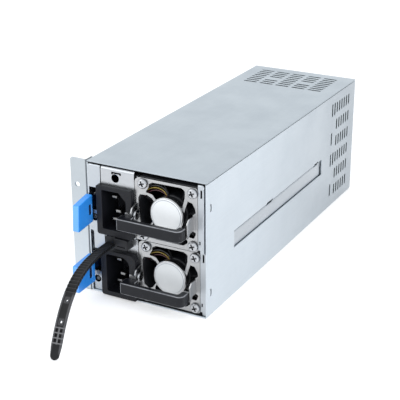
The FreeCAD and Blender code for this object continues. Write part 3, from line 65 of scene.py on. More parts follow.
cam_data = bpy.data.cameras.new("camera")
cam_data.sensor_width = 36.0
cam_data.lens = 97.407
cam_data.clip_start = 0.01
cam_data.clip_end = 30.0
camera = bpy.data.objects.new("camera", cam_data)
COL.objects.link(camera)
camera.matrix_world = Matrix.Translation((0.2963, -0.59615, 0.3037)) @ look(28.404, 22.747, -0.218)
scene.camera = camera


# ---------------------------------------------------------------- materials
class Mat:
    """A procedural finish: a Principled shader with its colour, roughness and
    bump built from nodes in object coordinates (metres)."""

    def __init__(self, name, rough=0.5, metal=0.0, **sockets):
        self.m = bpy.data.materials.new(name)
        self.m.use_nodes = True
        self.t = self.m.node_tree
        self.t.nodes.clear()
        out = self.t.nodes.new("ShaderNodeOutputMaterial")
        self.b = self.t.nodes.new("ShaderNodeBsdfPrincipled")
        self.t.links.new(self.b.outputs[0], out.inputs[0])
        self.b.inputs["Roughness"].default_value = rough
        self.b.inputs["Metallic"].default_value = metal
        for k, v in sockets.items():
            self.b.inputs[k.replace("_", " ")].default_value = v
        self.co = self.t.nodes.new("ShaderNodeTexCoord").outputs["Object"]

    def new(self, kind, **inputs):
        n = self.t.nodes.new(kind)
        for k, v in inputs.items():
            self.put(n.inputs[k], v)
        return n

    def put(self, socket, v):
        if isinstance(v, bpy.types.NodeSocket):
            self.t.links.new(v, socket)
        elif isinstance(v, (tuple, list)) and len(v) == 3 and len(getattr(socket, "default_value", (0, 0, 0))) == 4:
            socket.default_value = (*v, 1.0)
        else:
            socket.default_value = v

    def at(self, scale=(1, 1, 1), shift=(0, 0, 0), turn=(0, 0, 0)):
        n = self.new("ShaderNodeMapping", Vector=self.co)
        n.inputs["Scale"].default_value = scale
        n.inputs["Location"].default_value = shift
        n.inputs["Rotation"].default_value = turn
        return n.outputs[0]

    def noise(self, scale, detail=3.0, rough=0.55, stretch=(1, 1, 1), shift=(0, 0, 0), distort=0.0):
        n = self.new("ShaderNodeTexNoise", Vector=self.at(stretch, shift))
        n.inputs["Scale"].default_value = scale
        n.inputs["Detail"].default_value = detail
        n.inputs["Roughness"].default_value = rough
        n.inputs["Distortion"].default_value = distort
        return n.outputs["Fac"]

    def cells(self, scale, stretch=(1, 1, 1), shift=(0, 0, 0), out="Color"):
        n = self.new("ShaderNodeTexVoronoi", Vector=self.at(stretch, shift))
        n.inputs["Scale"].default_value = scale
        return n.outputs[out]

    def calc(self, op, a, b=0.0, clamp=False):
        n = self.t.nodes.new("ShaderNodeMath")
        n.operation = op
        n.use_clamp = clamp
        self.put(n.inputs[0], a)
        self.put(n.inputs[1], b)
        return n.outputs[0]

    def span(self, v, lo, hi, a=0.0, b=1.0):
        n = self.t.nodes.new("ShaderNodeMapRange")
        n.clamp = True
        for k, x in zip(("Value", "From Min", "From Max", "To Min", "To Max"), (v, lo, hi, a, b)):
            self.put(n.inputs[k], x)
        return n.outputs[0]

    def mix(self, fac, a, b, blend="MIX"):
        n = self.t.nodes.new("ShaderNodeMix")
        n.data_type = "RGBA"
        n.blend_type = blend
        self.put(n.inputs[0], fac)
        self.put(n.inputs[6], a)
        self.put(n.inputs[7], b)
        return n.outputs[2]

    def grey(self, colour):
        return self.new("ShaderNodeRGBToBW", Color=colour).outputs[0]

    def edge(self, radius=0.0005, gain=3.0):
        """Mask that is 1 along edges and corners and 0 on flat faces."""
        bev = self.t.nodes.new("ShaderNodeBevel")
        bev.samples = 4
        bev.inputs["Radius"].default_value = radius
        geo = self.t.nodes.new("ShaderNodeNewGeometry")
        dot = self.t.nodes.new("ShaderNodeVectorMath")
        dot.operation = "DOT_PRODUCT"
        self.t.links.new(bev.outputs[0], dot.inputs[0])
        self.t.links.new(geo.outputs["Normal"], dot.inputs[1])
        return self.calc("MULTIPLY", self.calc("SUBTRACT", 1.0, dot.outputs["Value"]), gain, clamp=True)

    def cavity(self, distance=0.0012, lo=0.35, hi=0.85):
        """Mask that is 1 deep in recesses and gaps and 0 on open faces."""
        ao = self.t.nodes.new("ShaderNodeAmbientOcclusion")
        ao.samples = 6
        ao.inputs["Distance"].default_value = distance
        return self.span(ao.outputs["AO"], lo, hi, 1.0, 0.0)

    def along(self, axis):
        return self.new("ShaderNodeSeparateXYZ", Vector=self.co).outputs[axis]

    def facing(self):
        """Absolute parts of the surface normal along X, Y and Z."""
        geo = self.t.nodes.new("ShaderNodeNewGeometry")
        sep = self.new("ShaderNodeSeparateXYZ", Vector=geo.outputs["Normal"])
        return [self.calc("ABSOLUTE", o) for o in sep.outputs]

    def rounded(self, lo=1.10, hi=1.30):
        """Mask that is 1 on rounded edges between square faces."""
        a, b, c = self.facing()
        return self.span(self.calc("ADD", a, self.calc("ADD", b, c)), lo, hi)

    def within(self, axis, lo, hi, soft=0.0001):
        v = self.along(axis)
        return self.calc("MULTIPLY", self.span(v, lo - soft, lo), self.span(v, hi, hi + soft, 1.0, 0.0))

    def radial(self, centre):
        """Distance in the XZ plane from a centre line along Y, in metres."""
        sep = self.new("ShaderNodeSeparateXYZ", Vector=self.co)
        dx = self.calc("SUBTRACT", sep.outputs[0], centre[0])
        dz = self.calc("SUBTRACT", sep.outputs[2], centre[1])
        return self.calc("SQRT", self.calc("ADD", self.calc("MULTIPLY", dx, dx), self.calc("MULTIPLY", dz, dz)))

    def bump(self, height, distance, strength=1.0, normal=None):
        n = self.t.nodes.new("ShaderNodeBump")
        n.inputs["Strength"].default_value = strength
        n.inputs["Distance"].default_value = distance
        self.put(n.inputs["Height"], height)
        if normal is not None:
            self.put(n.inputs["Normal"], normal)
        return n.outputs[0]

    def done(self, colour=None, rough=None, normal=None):
        if colour is not None:
            self.put(self.b.inputs["Base Color"], colour)
        if rough is not None:
            self.put(self.b.inputs["Roughness"], rough)
        if normal is not None:
            self.put(self.b.inputs["Normal"], normal)
        return self.m


def sheet_metal(name, low, high, rough, grain=(900, 14, 900), smudge=0.07, wear=(0.62, 0.65, 0.68), spangle=0.35, metal=1.0, cavity_shade=None, painted_light_fade=None, extra=None):
    """Zinc-coated or plated sheet: rolled grain, faint crystal pattern, hand marks in the gloss, brighter rubbed edges;
    optionally painted shade in recesses and gaps, and a painted light gradient along Y."""
    k = Mat(name, metal=metal)
    cloud = k.noise(26, 4, 0.6)
    fine = k.noise(1.0, 2, 0.5, stretch=grain)
    flake = k.grey(k.cells(420, stretch=(1, 0.7, 1)))
    tone = k.calc("ADD", k.calc("MULTIPLY", cloud, 0.5), k.calc("ADD", k.calc("MULTIPLY", fine, 0.28), k.calc("MULTIPLY", flake, spangle * 0.4)))
    col = k.mix(k.span(tone, 0.28, 0.72), low, high)
    edge = k.edge(0.0004, 2.5)
    nick = k.calc("MULTIPLY", edge, k.span(k.noise(650, 3, 0.6), 0.42, 0.62))
    col = k.mix(k.calc("MULTIPLY", nick, 0.75), col, wear)
    spots = k.span(k.noise(140, 5, 0.65, shift=(3, 1, 2)), 0.60, 0.74)
    col = k.mix(k.calc("MULTIPLY", spots, 0.10), col, (0.36, 0.37, 0.38))
    # Painted light: colour scaled along Y, lighter towards the front.
    if painted_light_fade is not None:
        y0, y1, g0, g1 = painted_light_fade
        gain = k.span(k.along(1), y0, y1, g0, g1)
        light_tint = k.new("ShaderNodeCombineColor")
        for i in range(3):
            k.put(light_tint.inputs[i], gain)
        col = k.mix(1.0, col, light_tint.outputs[0], "MULTIPLY")
    # Painted shade: colour darkened towards near-black in the recesses and gaps that the occlusion mask finds.
    if cavity_shade is not None:
        dist, lo, hi, amount = cavity_shade
        col = k.mix(k.calc("MULTIPLY", k.cavity(dist, lo, hi), amount), col, (0.018, 0.019, 0.022))
    if extra is not None:
        col = extra(k, col)
    marks = k.noise(38, 5, 0.62, shift=(0.7, 0.2, 0.4))
    r = k.calc("ADD", k.span(marks, 0.35, 0.68, rough - smudge, rough + smudge), k.calc("MULTIPLY", k.calc("SUBTRACT", flake, 0.5), spangle * 0.10))
    r = k.calc("SUBTRACT", r, k.calc("MULTIPLY", nick, 0.10))
    n1 = k.bump(fine, 0.000012, 0.55)
    n2 = k.bump(k.noise(9, 2, 0.4), 0.00035, 0.25, n1)
    return k.done(col, r, n2)


def moulded(name, low, high, rough, edge_col, texture=0.000018, scale=2600, wear=0.6, coat=0.0, scuffs=0.08, rim=0.00035,
            worn=(0.36, 0.66), cavity_shade=None, lip_highlight=None, extra=None, **sockets):
    """Moulded plastic: spark-eroded texture, pale rubbed edges (on the grip also a painted highlight), scuffs;
    optionally painted shade in recesses and a painted highlight on rounded rims.
    """
    k = Mat(name, rough, Coat_Weight=coat, Coat_Roughness=0.18, **sockets)
    cloud = k.noise(60, 3, 0.55)
    col = k.mix(k.span(cloud, 0.3, 0.7), low, high)
    # Pale rubbed edges; at the grip's strong setting they are also a painted highlight along its edges.
    edge = k.edge(rim, 2.6)
    rub = k.calc("MULTIPLY", edge, k.span(k.noise(420, 4, 0.6), *worn))
    col = k.mix(k.calc("MULTIPLY", rub, wear), col, edge_col)
    # Painted shade: colour darkened in the recesses and gaps that the occlusion mask finds.
    if cavity_shade is not None:
        dist, lo, hi, amount, dark = cavity_shade
        col = k.mix(k.calc("MULTIPLY", k.cavity(dist, lo, hi), amount), col, dark)
    # Painted highlight: a paler line on rounded rims of upward faces and of the left end.
    if lip_highlight is not None:
        highlight_rims = k.calc("ADD", k.span(k.facing()[2], 0.10, 0.25), k.span(k.along(0), -0.0096, -0.0090, 1.0, 0.0), True)
        highlight_rims = k.calc("MULTIPLY", highlight_rims, k.span(k.noise(300, 3, 0.6), 0.30, 0.60, 0.55, 1.0))
        col = k.mix(k.calc("MULTIPLY", k.rounded(), highlight_rims), col, lip_highlight)
    if extra is not None:
        col = extra(k, col)
    dust = k.span(k.noise(900, 5, 0.7, shift=(1, 2, 3)), 0.60, 0.80)
    col = k.mix(k.calc("MULTIPLY", dust, 0.18), col, edge_col)
    grainy = k.noise(scale, 2, 0.5)
    scuff = k.noise(1.0, 3, 0.6, stretch=(160, 900, 300), shift=(0.3, 0.9, 0.1))
    r = k.calc("ADD", k.span(k.noise(85, 4, 0.6), 0.3, 0.7, rough - 0.06, rough + 0.06), k.calc("MULTIPLY", k.calc("SUBTRACT", scuff, 0.5), scuffs))
    return k.done(col, r, k.bump(k.calc("ADD", grainy, k.calc("MULTIPLY", scuff, 0.3)), texture, 0.8))


def ear_painted_shade(k, col):
    """Painted shading on the ear: lighter towards the bottom and darker towards the top, and a painted shadow line in
    the groove where the ear is bent against the cage wall.
    """
    gain = k.span(k.along(2), 0.010, 0.072, 1.17, 0.91)
    light_tint = k.new("ShaderNodeCombineColor")
    for i in range(3):
        k.put(light_tint.inputs[i], gain)
    col = k.mix(1.0, col, light_tint.outputs[0], "MULTIPLY")
    # Painted shadow line along the groove of the bend.
    return k.mix(k.calc("MULTIPLY", k.within(0, -0.0401, -0.0390, 0.0003), 0.85), col, (0.10, 0.11, 0.12))


def lever_painted_light(k, col):
    """Painted light on the lever: painted shade on its side faces, a painted lighter front face, painted shade on the
    slot walls and on the arm behind the tab, and a painted highlight beside the finger slot.
    """
    ax, ay, az = k.facing()
    wall = k.span(ax, 0.45, 0.55, 1.0, 0.0)
    side = k.span(ax, 0.80, 0.90)
    # Painted shade on the side faces.
    col = k.mix(k.calc("MULTIPLY", side, 0.14), col, (0.004, 0.08, 0.42))
    # Painted light on the front face.
    col = k.mix(k.calc("MULTIPLY", k.span(ay, 0.75, 0.90), 0.22), col, (0.30, 0.52, 0.90))
    for y0, y1, z0, z1 in ((-0.11905, -0.11685, 0.05215, 0.05855), (-0.12135, -0.11895, 0.0121, 0.0206)):
        here = k.calc("MULTIPLY", k.within(1, y0 - 0.00012, y1 + 0.00012, 0.00003), k.within(2, z0 - 0.00012, z1 + 0.00012, 0.00003))
        # Painted shade on the slot walls.
        col = k.mix(k.calc("MULTIPLY", here, wall), col, (0.002, 0.010, 0.045))
        edge = k.calc("MULTIPLY", k.within(1, y1 + 0.0001, y1 + 0.0006, 0.0002), k.within(2, z0, z1, 0.0003))
        # Painted highlight beside the slot.
        col = k.mix(k.calc("MULTIPLY", edge, k.calc("MULTIPLY", side, 0.5)), col, (0.16, 0.42, 0.92))
    # Painted shade on the arm behind the tab.
    return k.mix(k.span(k.along(1), -0.1151, -0.1147), col, (0.003, 0.010, 0.035))


def strap_painted_light(k, col):
    """Painted shade at the roots of the ladder's teeth and painted highlights on their crests, the rails, the ribs and
    the rims of the eyes, read from the strip's own map.
    """
    uv = k.t.nodes.new("ShaderNodeUVMap")
    uv.uv_map = "strip"
    sep = k.new("ShaderNodeSeparateXYZ", Vector=uv.outputs[0])
    s, w = sep.outputs[0], sep.outputs[1]
    ph = k.calc("FRACT", k.calc("DIVIDE", k.calc("SUBTRACT", k.calc("MULTIPLY", s, 100.0), 3.0), 2.45))
    root_shade = k.calc("MULTIPLY", k.span(ph, 0.46, 0.66), k.span(ph, 0.80, 0.94, 1.0, 0.0))
    crest_highlight = k.calc("ADD", k.span(ph, 0.94, 1.0), k.span(ph, 0.02, 0.14, 1.0, 0.0), True)
    zone = k.calc("MULTIPLY", k.span(k.calc("MULTIPLY", s, 100.0), 2.6, 3.4), k.span(k.calc("MULTIPLY", s, 100.0), 57.0, 58.0, 1.0, 0.0))
    # Painted shade at the tooth roots.
    col = k.mix(k.calc("MULTIPLY", zone, k.calc("MULTIPLY", root_shade, 0.95)), col, (0.0012, 0.0012, 0.0014))
    # Painted highlight on the tooth crests.
    col = k.mix(k.calc("MULTIPLY", zone, k.calc("MULTIPLY", crest_highlight, 0.8)), col, (0.045, 0.045, 0.048))
    along, off = k.calc("MULTIPLY", s, 100.0), k.calc("ABSOLUTE", k.calc("MULTIPLY", w, 100.0))
    plain_end = k.calc("MULTIPLY", k.span(along, 57.0, 59.0), k.span(along, 90.0, 92.0, 1.0, 0.0))
    rail_highlight = k.calc("MULTIPLY", k.span(off, 1.95, 2.25), k.span(k.noise(240, 3, 0.6), 0.25, 0.55, 0.6, 1.0))
    # Painted highlight along the rails of the plain end.
    col = k.mix(k.calc("MULTIPLY", plain_end, k.calc("MULTIPLY", rail_highlight, 0.85)), col, (0.060, 0.060, 0.065))
    pitch = k.calc("ABSOLUTE", k.calc("SUBTRACT", k.calc("FRACT", k.calc("DIVIDE", k.calc("SUBTRACT", along, 77.2), 2.8)), 0.5))
    rib = k.calc("ADD", k.span(pitch, 0.34, 0.42), k.span(off, 0.42, 0.58, 1.0, 0.0), True)
    ladder = k.calc("MULTIPLY", k.span(along, 76.6, 76.9), k.span(along, 86.0, 86.3, 1.0, 0.0))
    # Painted highlight on the ribs between the slots.
    col = k.mix(k.calc("MULTIPLY", ladder, k.calc("MULTIPLY", rib, 0.9)), col, (0.11, 0.11, 0.115))
    eye_highlight = k.calc("ADD", k.calc("MULTIPLY", k.span(along, 59.6, 60.2), k.span(along, 63.4, 64.0, 1.0, 0.0)),
                  k.calc("MULTIPLY", k.span(along, 71.8, 72.4), k.span(along, 75.6, 76.2, 1.0, 0.0)), True)
    # Painted highlight round the eyes.
    return k.mix(k.calc("MULTIPLY", eye_highlight, k.span(off, 1.3, 1.8, 0.50, 0.0)), col, (0.060, 0.060, 0.064))


GALV = sheet_metal("zinc_sheet", (0.400, 0.435, 0.470), (0.436, 0.471, 0.506), 0.36, spangle=0.22)
# Painted light: the cage base is made lighter towards the front.
GALV_BASE = sheet_metal("zinc_sheet_base", (0.395, 0.43, 0.463), (0.435, 0.47, 0.503), 0.36, spangle=0.22, painted_light_fade=(-0.06, 0.10, 1.40, 0.98))
# Painted shade: the occlusion settings on the ear, inner sheet, plate, guard and screw finishes darken their recesses
# and gaps.
GALV_EAR = sheet_metal("zinc_sheet_ear", (0.462, 0.500, 0.530), (0.502, 0.540, 0.570), 0.38, spangle=0.22, cavity_shade=(0.0016, 0.30, 0.80, 0.85), extra=ear_painted_shade)
GALV_IN = sheet_metal("zinc_sheet_inner", (0.445, 0.474, 0.506), (0.498, 0.526, 0.559), 0.33, grain=(14, 900, 900), spangle=0.2, cavity_shade=(0.0040, 0.18, 0.52, 0.95))
NICKEL = sheet_metal("nickel_plate", (0.442, 0.456, 0.476), (0.500, 0.514, 0.533), 0.29, grain=(22, 900, 500), spangle=0.10, smudge=0.06, wear=(0.66, 0.67, 0.69), cavity_shade=(0.0013, 0.25, 0.70, 0.9))
GUARD = sheet_metal("guard_plate", (0.414, 0.417, 0.424), (0.468, 0.470, 0.477), 0.31, grain=(22, 900, 500), spangle=0.10, smudge=0.06, wear=(0.60, 0.61, 0.63), cavity_shade=(0.0013, 0.25, 0.70, 0.9))
SCREW = sheet_metal("zinc_screw", (0.44, 0.45, 0.47), (0.56, 0.57, 0.59), 0.28, grain=(1500, 1500, 1500), spangle=0.05, smudge=0.05, wear=(0.74, 0.75, 0.76), cavity_shade=(0.0015, 0.45, 0.92, 0.96))
ALU = sheet_metal("extruded_aluminium", (0.60, 0.61, 0.62), (0.76, 0.77, 0.78), 0.34, grain=(900, 20, 900), spangle=0.0)
BRIGHT = sheet_metal("contact_metal", (0.70, 0.69, 0.66), (0.90, 0.89, 0.86), 0.20, grain=(800, 60, 800), spangle=0.0, wear=(0.97, 0.96, 0.93))
# The inlet pins' metal is far darker than plated contacts: painted shade for their place deep in the inlet's recess.
BLADE_SHADED = sheet_metal("blade_metal_shaded", (0.20, 0.20, 0.20), (0.28, 0.28, 0.28), 0.30, grain=(800, 60, 800), spangle=0.0, wear=(0.42, 0.42, 0.42))
BLACK = moulded("black_moulding", (0.006, 0.0063, 0.0078), (0.010, 0.0105, 0.0125), 0.46, (0.05, 0.05, 0.056), Specular_IOR_Level=0.28)
FANBLACK = moulded("fan_moulding", (0.006, 0.0065, 0.008), (0.011, 0.0115, 0.014), 0.40, (0.05, 0.05, 0.06), Specular_IOR_Level=0.4)
# The grip's strong pale edge rub is partly wear and partly a painted highlight, and its lip colour is a painted
# highlight on its rounded rims and corners.
GRIP = moulded("grip_moulding", (0.0035, 0.0040, 0.0062), (0.0070, 0.0076, 0.0102), 0.34, (0.11, 0.11, 0.125), texture=0.000010, scale=3200, wear=0.85, rim=0.0007, worn=(0.20, 0.50), lip_highlight=(0.17, 0.175, 0.19), Specular_IOR_Level=0.24)
INLET = moulded("inlet_moulding", (0.005, 0.0053, 0.0072), (0.008, 0.0085, 0.0112), 0.42, (0.05, 0.05, 0.056), Specular_IOR_Level=0.24)
# Painted shade: the strap's occlusion setting darkens its recesses.
STRAP = moulded("strap_nylon", (0.0035, 0.0036, 0.0044), (0.0072, 0.0074, 0.0084), 0.46, (0.075, 0.075, 0.078), texture=0.000008, wear=0.75, rim=0.00022, worn=(0.30, 0.60),
                cavity_shade=(0.0007, 0.30, 0.80, 0.9, (0.0022, 0.0022, 0.0025)), extra=strap_painted_light, Specular_IOR_Level=0.22)
BLUE = moulded("blue_moulding", (0.020, 0.205, 0.63), (0.030, 0.250, 0.72), 0.34, (0.24, 0.55, 0.95), texture=0.000008, scale=3000, wear=0.35, coat=0.45, scuffs=0.05,
               extra=lever_painted_light)
NYLON = moulded("natural_nylon", (0.66, 0.65, 0.60), (0.78, 0.77, 0.72), 0.42, (0.88, 0.87, 0.83), wear=0.3)


def board_finish():
    k = Mat("solder_mask", 0.32, Coat_Weight=0.3)
    weave = k.noise(1500, 2, 0.5)
    base = k.mix(k.span(k.noise(40, 3), 0.3, 0.7), (0.010, 0.085, 0.040), (0.018, 0.13, 0.062))
    tracks = k.new("ShaderNodeTexBrick", Vector=k.at((1, 1, 1), (0.001, 0.002, 0)))
    tracks.inputs["Scale"].default_value = 1.0
    tracks.inputs["Mortar Size"].default_value = 0.0004
    tracks.inputs["Brick Width"].default_value = 0.013
    tracks.inputs["Row Height"].default_value = 0.0021
    for s in ("Color1", "Color2"):
        tracks.inputs[s].default_value = (0, 0, 0, 1)
    tracks.inputs["Mortar"].default_value = (1, 1, 1, 1)
    col = k.mix(k.calc("MULTIPLY", k.grey(tracks.outputs[0]), 0.5), base, (0.05, 0.24, 0.12))
    pads = k.span(k.cells(330, out="Distance"), 0.10, 0.13, 1.0, 0.0)
    col = k.mix(k.calc("MULTIPLY", pads, 0.8), col, (0.70, 0.69, 0.64))
    return k.done(col, k.span(weave, 0.3, 0.7, 0.26, 0.40), k.bump(k.calc("ADD", weave, k.grey(tracks.outputs[0])), 0.00002, 0.6))


def ferrite_finish():
    k = Mat("ferrite_and_tape", 0.5)
    col = k.mix(k.span(k.noise(900, 4), 0.35, 0.65), (0.035, 0.035, 0.038), (0.075, 0.075, 0.080))
    turns = k.noise(1.0, 1, 0.5, stretch=(40, 1500, 40))
    return k.done(col, k.span(turns, 0.3, 0.7, 0.38, 0.62), k.bump(turns, 0.00005, 0.7))


def tape_finish(name, a, b, stretch):
    k = Mat(name, 0.4, Coat_Weight=0.3)
    turns = k.noise(1.0, 2, 0.5, stretch=stretch)
    col = k.mix(k.span(turns, 0.35, 0.65), a, b)
    return k.done(col, k.span(k.noise(200, 3), 0.3, 0.7, 0.30, 0.50), k.bump(turns, 0.00006, 0.7))


def sleeve_finish():
    k = Mat("shrink_sleeve", 0.3, Coat_Weight=0.4)
    col = k.mix(k.span(k.noise(70, 3), 0.3, 0.7), (0.012, 0.016, 0.045), (0.020, 0.026, 0.070))
    return k.done(col, k.span(k.noise(240, 3), 0.3, 0.7, 0.24, 0.36), k.bump(k.noise(500, 3), 0.00002, 0.5))


def label_finish(name, centre, tone):
    """Satin white disc with a paper-like grain and one thin dark ring, painted as the shadow line of the boss's rim and
    stronger towards the upper right.
    """
    k = Mat(name, 0.38, Coat_Weight=0.25, Coat_Roughness=0.2)
    d = k.radial(centre)
    base = k.mix(k.span(k.noise(120, 4, 0.6), 0.3, 0.7), tuple(v * 0.95 for v in tone), tone)
    # Painted shadow line of the boss's rim, stronger towards the upper right.
    rim_shadow = k.calc("MULTIPLY", k.span(d, 0.00905, 0.00915), k.span(d, 0.00950, 0.00960, 1.0, 0.0))
    turn = k.calc("ADD", k.calc("SUBTRACT", k.along(0), centre[0]), k.calc("SUBTRACT", k.along(2), centre[1]))
    col = k.mix(k.calc("MULTIPLY", rim_shadow, k.span(turn, -0.006, 0.006, 0.30, 0.85)), base, (0.20, 0.22, 0.25))
    rub = k.span(k.noise(260, 5, 0.7, shift=(4, 4, 4)), 0.62, 0.78)
    col = k.mix(k.calc("MULTIPLY", rub, 0.12), col, (0.55, 0.55, 0.54))
    return k.done(col, k.span(k.noise(300, 3), 0.3, 0.7, 0.32, 0.46), k.bump(k.noise(2400, 2), 0.000006, 0.6))


def lead_finish(name, a, b):
    k = Mat(name, 0.35, Coat_Weight=0.2)
    col = k.mix(k.span(k.noise(500, 3), 0.3, 0.7), a, b)
    return k.done(col, k.span(k.noise(900, 3), 0.3, 0.7, 0.28, 0.42), k.bump(k.noise(1800, 2), 0.00001, 0.5))


def lens_finish():
    k = Mat("led_lens", 0.18, Transmission_Weight=0.25, Coat_Weight=0.6)
    col = k.mix(k.span(k.noise(600, 3), 0.3, 0.7), (0.030, 0.034, 0.036), (0.075, 0.082, 0.084))
    return k.done(col, k.span(k.noise(400, 2), 0.3, 0.7, 0.12, 0.24), k.bump(k.noise(1500, 2), 0.00001, 0.4))


BOARD = board_finish()
FERRITE = ferrite_finish()
TAPE = tape_finish("yellow_tape", (0.62, 0.42, 0.03), (0.78, 0.56, 0.06), (60, 60, 1400))
WINDING = tape_finish("copper_winding", (0.36, 0.10, 0.03), (0.66, 0.24, 0.08), (500, 1500, 1500))
SLEEVE = sleeve_finish()
# The yellow and red leads get dim, near-dark colours: painted shade for their place behind the guard.
LEAD_Y_SHADED = lead_finish("lead_yellow", (0.15, 0.105, 0.018), (0.20, 0.145, 0.025))
LEAD_R_SHADED = lead_finish("lead_red", (0.030, 0.006, 0.010), (0.045, 0.010, 0.015))
LEAD_K = lead_finish("lead_black", (0.012, 0.012, 0.014), (0.03, 0.03, 0.034))
LENS = lens_finish()


# ------------------------------------------------------------------ helpers
def add_object(name, data):
    o = bpy.data.objects.new(name, data)
    COL.objects.link(o)
    return o


def settle(o, node=None, body=None, material=None):
    """Puts a finish on a piece, rides it on its body and hides the node that
    it stands for."""
    if material is not None:
        o.data.materials.clear()
        o.data.materials.append(material)
    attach(o, body or BODY[node])
    if node:
        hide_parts(node)
    return o


def crisp(o, width=0.00012, seg=2, angle=32.0):
    """Small rounding on every sharp edge, with flat faces kept flat."""
    if width > 0:
        b = o.modifiers.new("rounding", "BEVEL")
        b.width = width
        b.segments = seg
        b.limit_method = "ANGLE"
        b.angle_limit = math.radians(angle)
        b.use_clamp_overlap = False
        b.loop_slide = False
        b.miter_outer = "MITER_ARC"
    w = o.modifiers.new("normals", "WEIGHTED_NORMAL")
    w.mode = "FACE_AREA"
    w.weight = 90
    w.keep_sharp = False
    return o


def tame(o, node, far):
    """Fixes the rounding in the mesh and pulls any corner that overshot back
    on to the node's own surface."""
    bpy.context.view_layer.update()
    o.modifiers["normals"].show_viewport = False
    baked = bpy.data.meshes.new_from_object(o.evaluated_get(bpy.context.evaluated_depsgraph_get()))
    src = NODES[node].data
    tree = BVHTree.FromPolygons([v.co for v in src.vertices], [tuple(f.vertices) for f in src.polygons])
    for v in baked.vertices:
        spot, _, _, gap = tree.find_nearest(v.co)
        if spot is not None and gap > far:
            v.co = spot
    old = o.data
    o.data = baked
    bpy.data.meshes.remove(old)
    o.modifiers.remove(o.modifiers["rounding"])
    o.modifiers["normals"].show_viewport = True


def polish(node, material, width=0.12, seg=2, angle=32.0, roll=None):
    """The node's own shape, welded and with its edges slightly rounded; roll
    picks edges that get a wide bend of their own."""
    me = bpy.data.meshes.new(node + "_shape")
    bm = bmesh.new()
    bm.from_mesh(NODES[node].data)
    bmesh.ops.remove_doubles(bm, verts=bm.verts, dist=3e-6)
    bmesh.ops.dissolve_limit(bm, angle_limit=math.radians(0.5), use_dissolve_boundaries=False,
                             verts=bm.verts, edges=bm.edges)
    if roll is not None:
        test, radius = roll
        picked = [e for e in bm.edges if all(test(v.co) for v in e.verts)]
        bmesh.ops.bevel(bm, geom=picked, offset=radius, segments=5, affect="EDGES", profile=0.5, clamp_overlap=True)
    bmesh.ops.connect_verts_concave(bm, faces=bm.faces)
    bm.to_mesh(me)
    bm.free()
    for p in me.polygons:
        p.use_smooth = True
    o = add_object(node + "_finish", me)
    crisp(o, width * MM, seg, angle)
    if width > 0:
        tame(o, node, (0.6 * width + 0.02) * MM + (0.45 * roll[1] if roll else 0.0))
    return settle(o, node, material=material)


def from_bm(name, bm, smooth=True):
    me = bpy.data.meshes.new(name)
    bmesh.ops.recalc_face_normals(bm, faces=bm.faces)
    bm.to_mesh(me)
    bm.free()
    for p in me.polygons:
        p.use_smooth = smooth
    return add_object(name, me)


# -------------------------------------------------------- strap, with ladder
ROUTE = [(-0.02274, -0.11507, 0.03535), (-0.02097, -0.12694, 0.03690), (-0.01914, -0.13920, 0.03770),
         (-0.01729, -0.15166, 0.03730), (-0.01552, -0.16353, 0.03440), (-0.01402, -0.17362, 0.02800),
         (-0.01283, -0.18163, 0.01910), (-0.01187, -0.18806, 0.00910), (-0.01118, -0.19271, 0.00085)]
curve = bpy.data.curves.new("strap_route", "CURVE")
curve.dimensions = "3D"
spline = curve.splines.new("NURBS")
spline.points.add(len(ROUTE) - 1)
for p, q in zip(spline.points, ROUTE):
    p.co = (*q, 1.0)
spline.order_u = 3
spline.use_endpoint_u = True
spline.resolution_u = 40
guide = add_object("strap_route", curve)
line = bpy.data.meshes.new_from_object(guide)
TRACK = [v.co.copy() for v in line.vertices]
bpy.data.objects.remove(guide)
bpy.data.meshes.remove(line)
dist = [0.0]
for a, b in zip(TRACK, TRACK[1:]):
    dist.append(dist[-1] + (b - a).length)
LENGTH = dist[-1]
ACROSS = Vector((11.3, -75.9, 0)).normalized().cross(Vector((0, 0, 1))).normalized()


def on_track(s):
    """Point and tangent at arc length s along the route."""
    s = min(max(s, 0.0), LENGTH)
    lo, hi = 0, len(dist) - 1
    while hi - lo > 1:
        mid = (lo + hi) // 2
        if dist[mid] <= s:
            lo = mid
        else:
            hi = mid
    f = (s - dist[lo]) / max(dist[hi] - dist[lo], 1e-12)
    p = TRACK[lo].lerp(TRACK[hi], f)
    a, b = TRACK[max(lo - 2, 0)], TRACK[min(hi + 2, len(TRACK) - 1)]
    return p, (b - a).normalized()


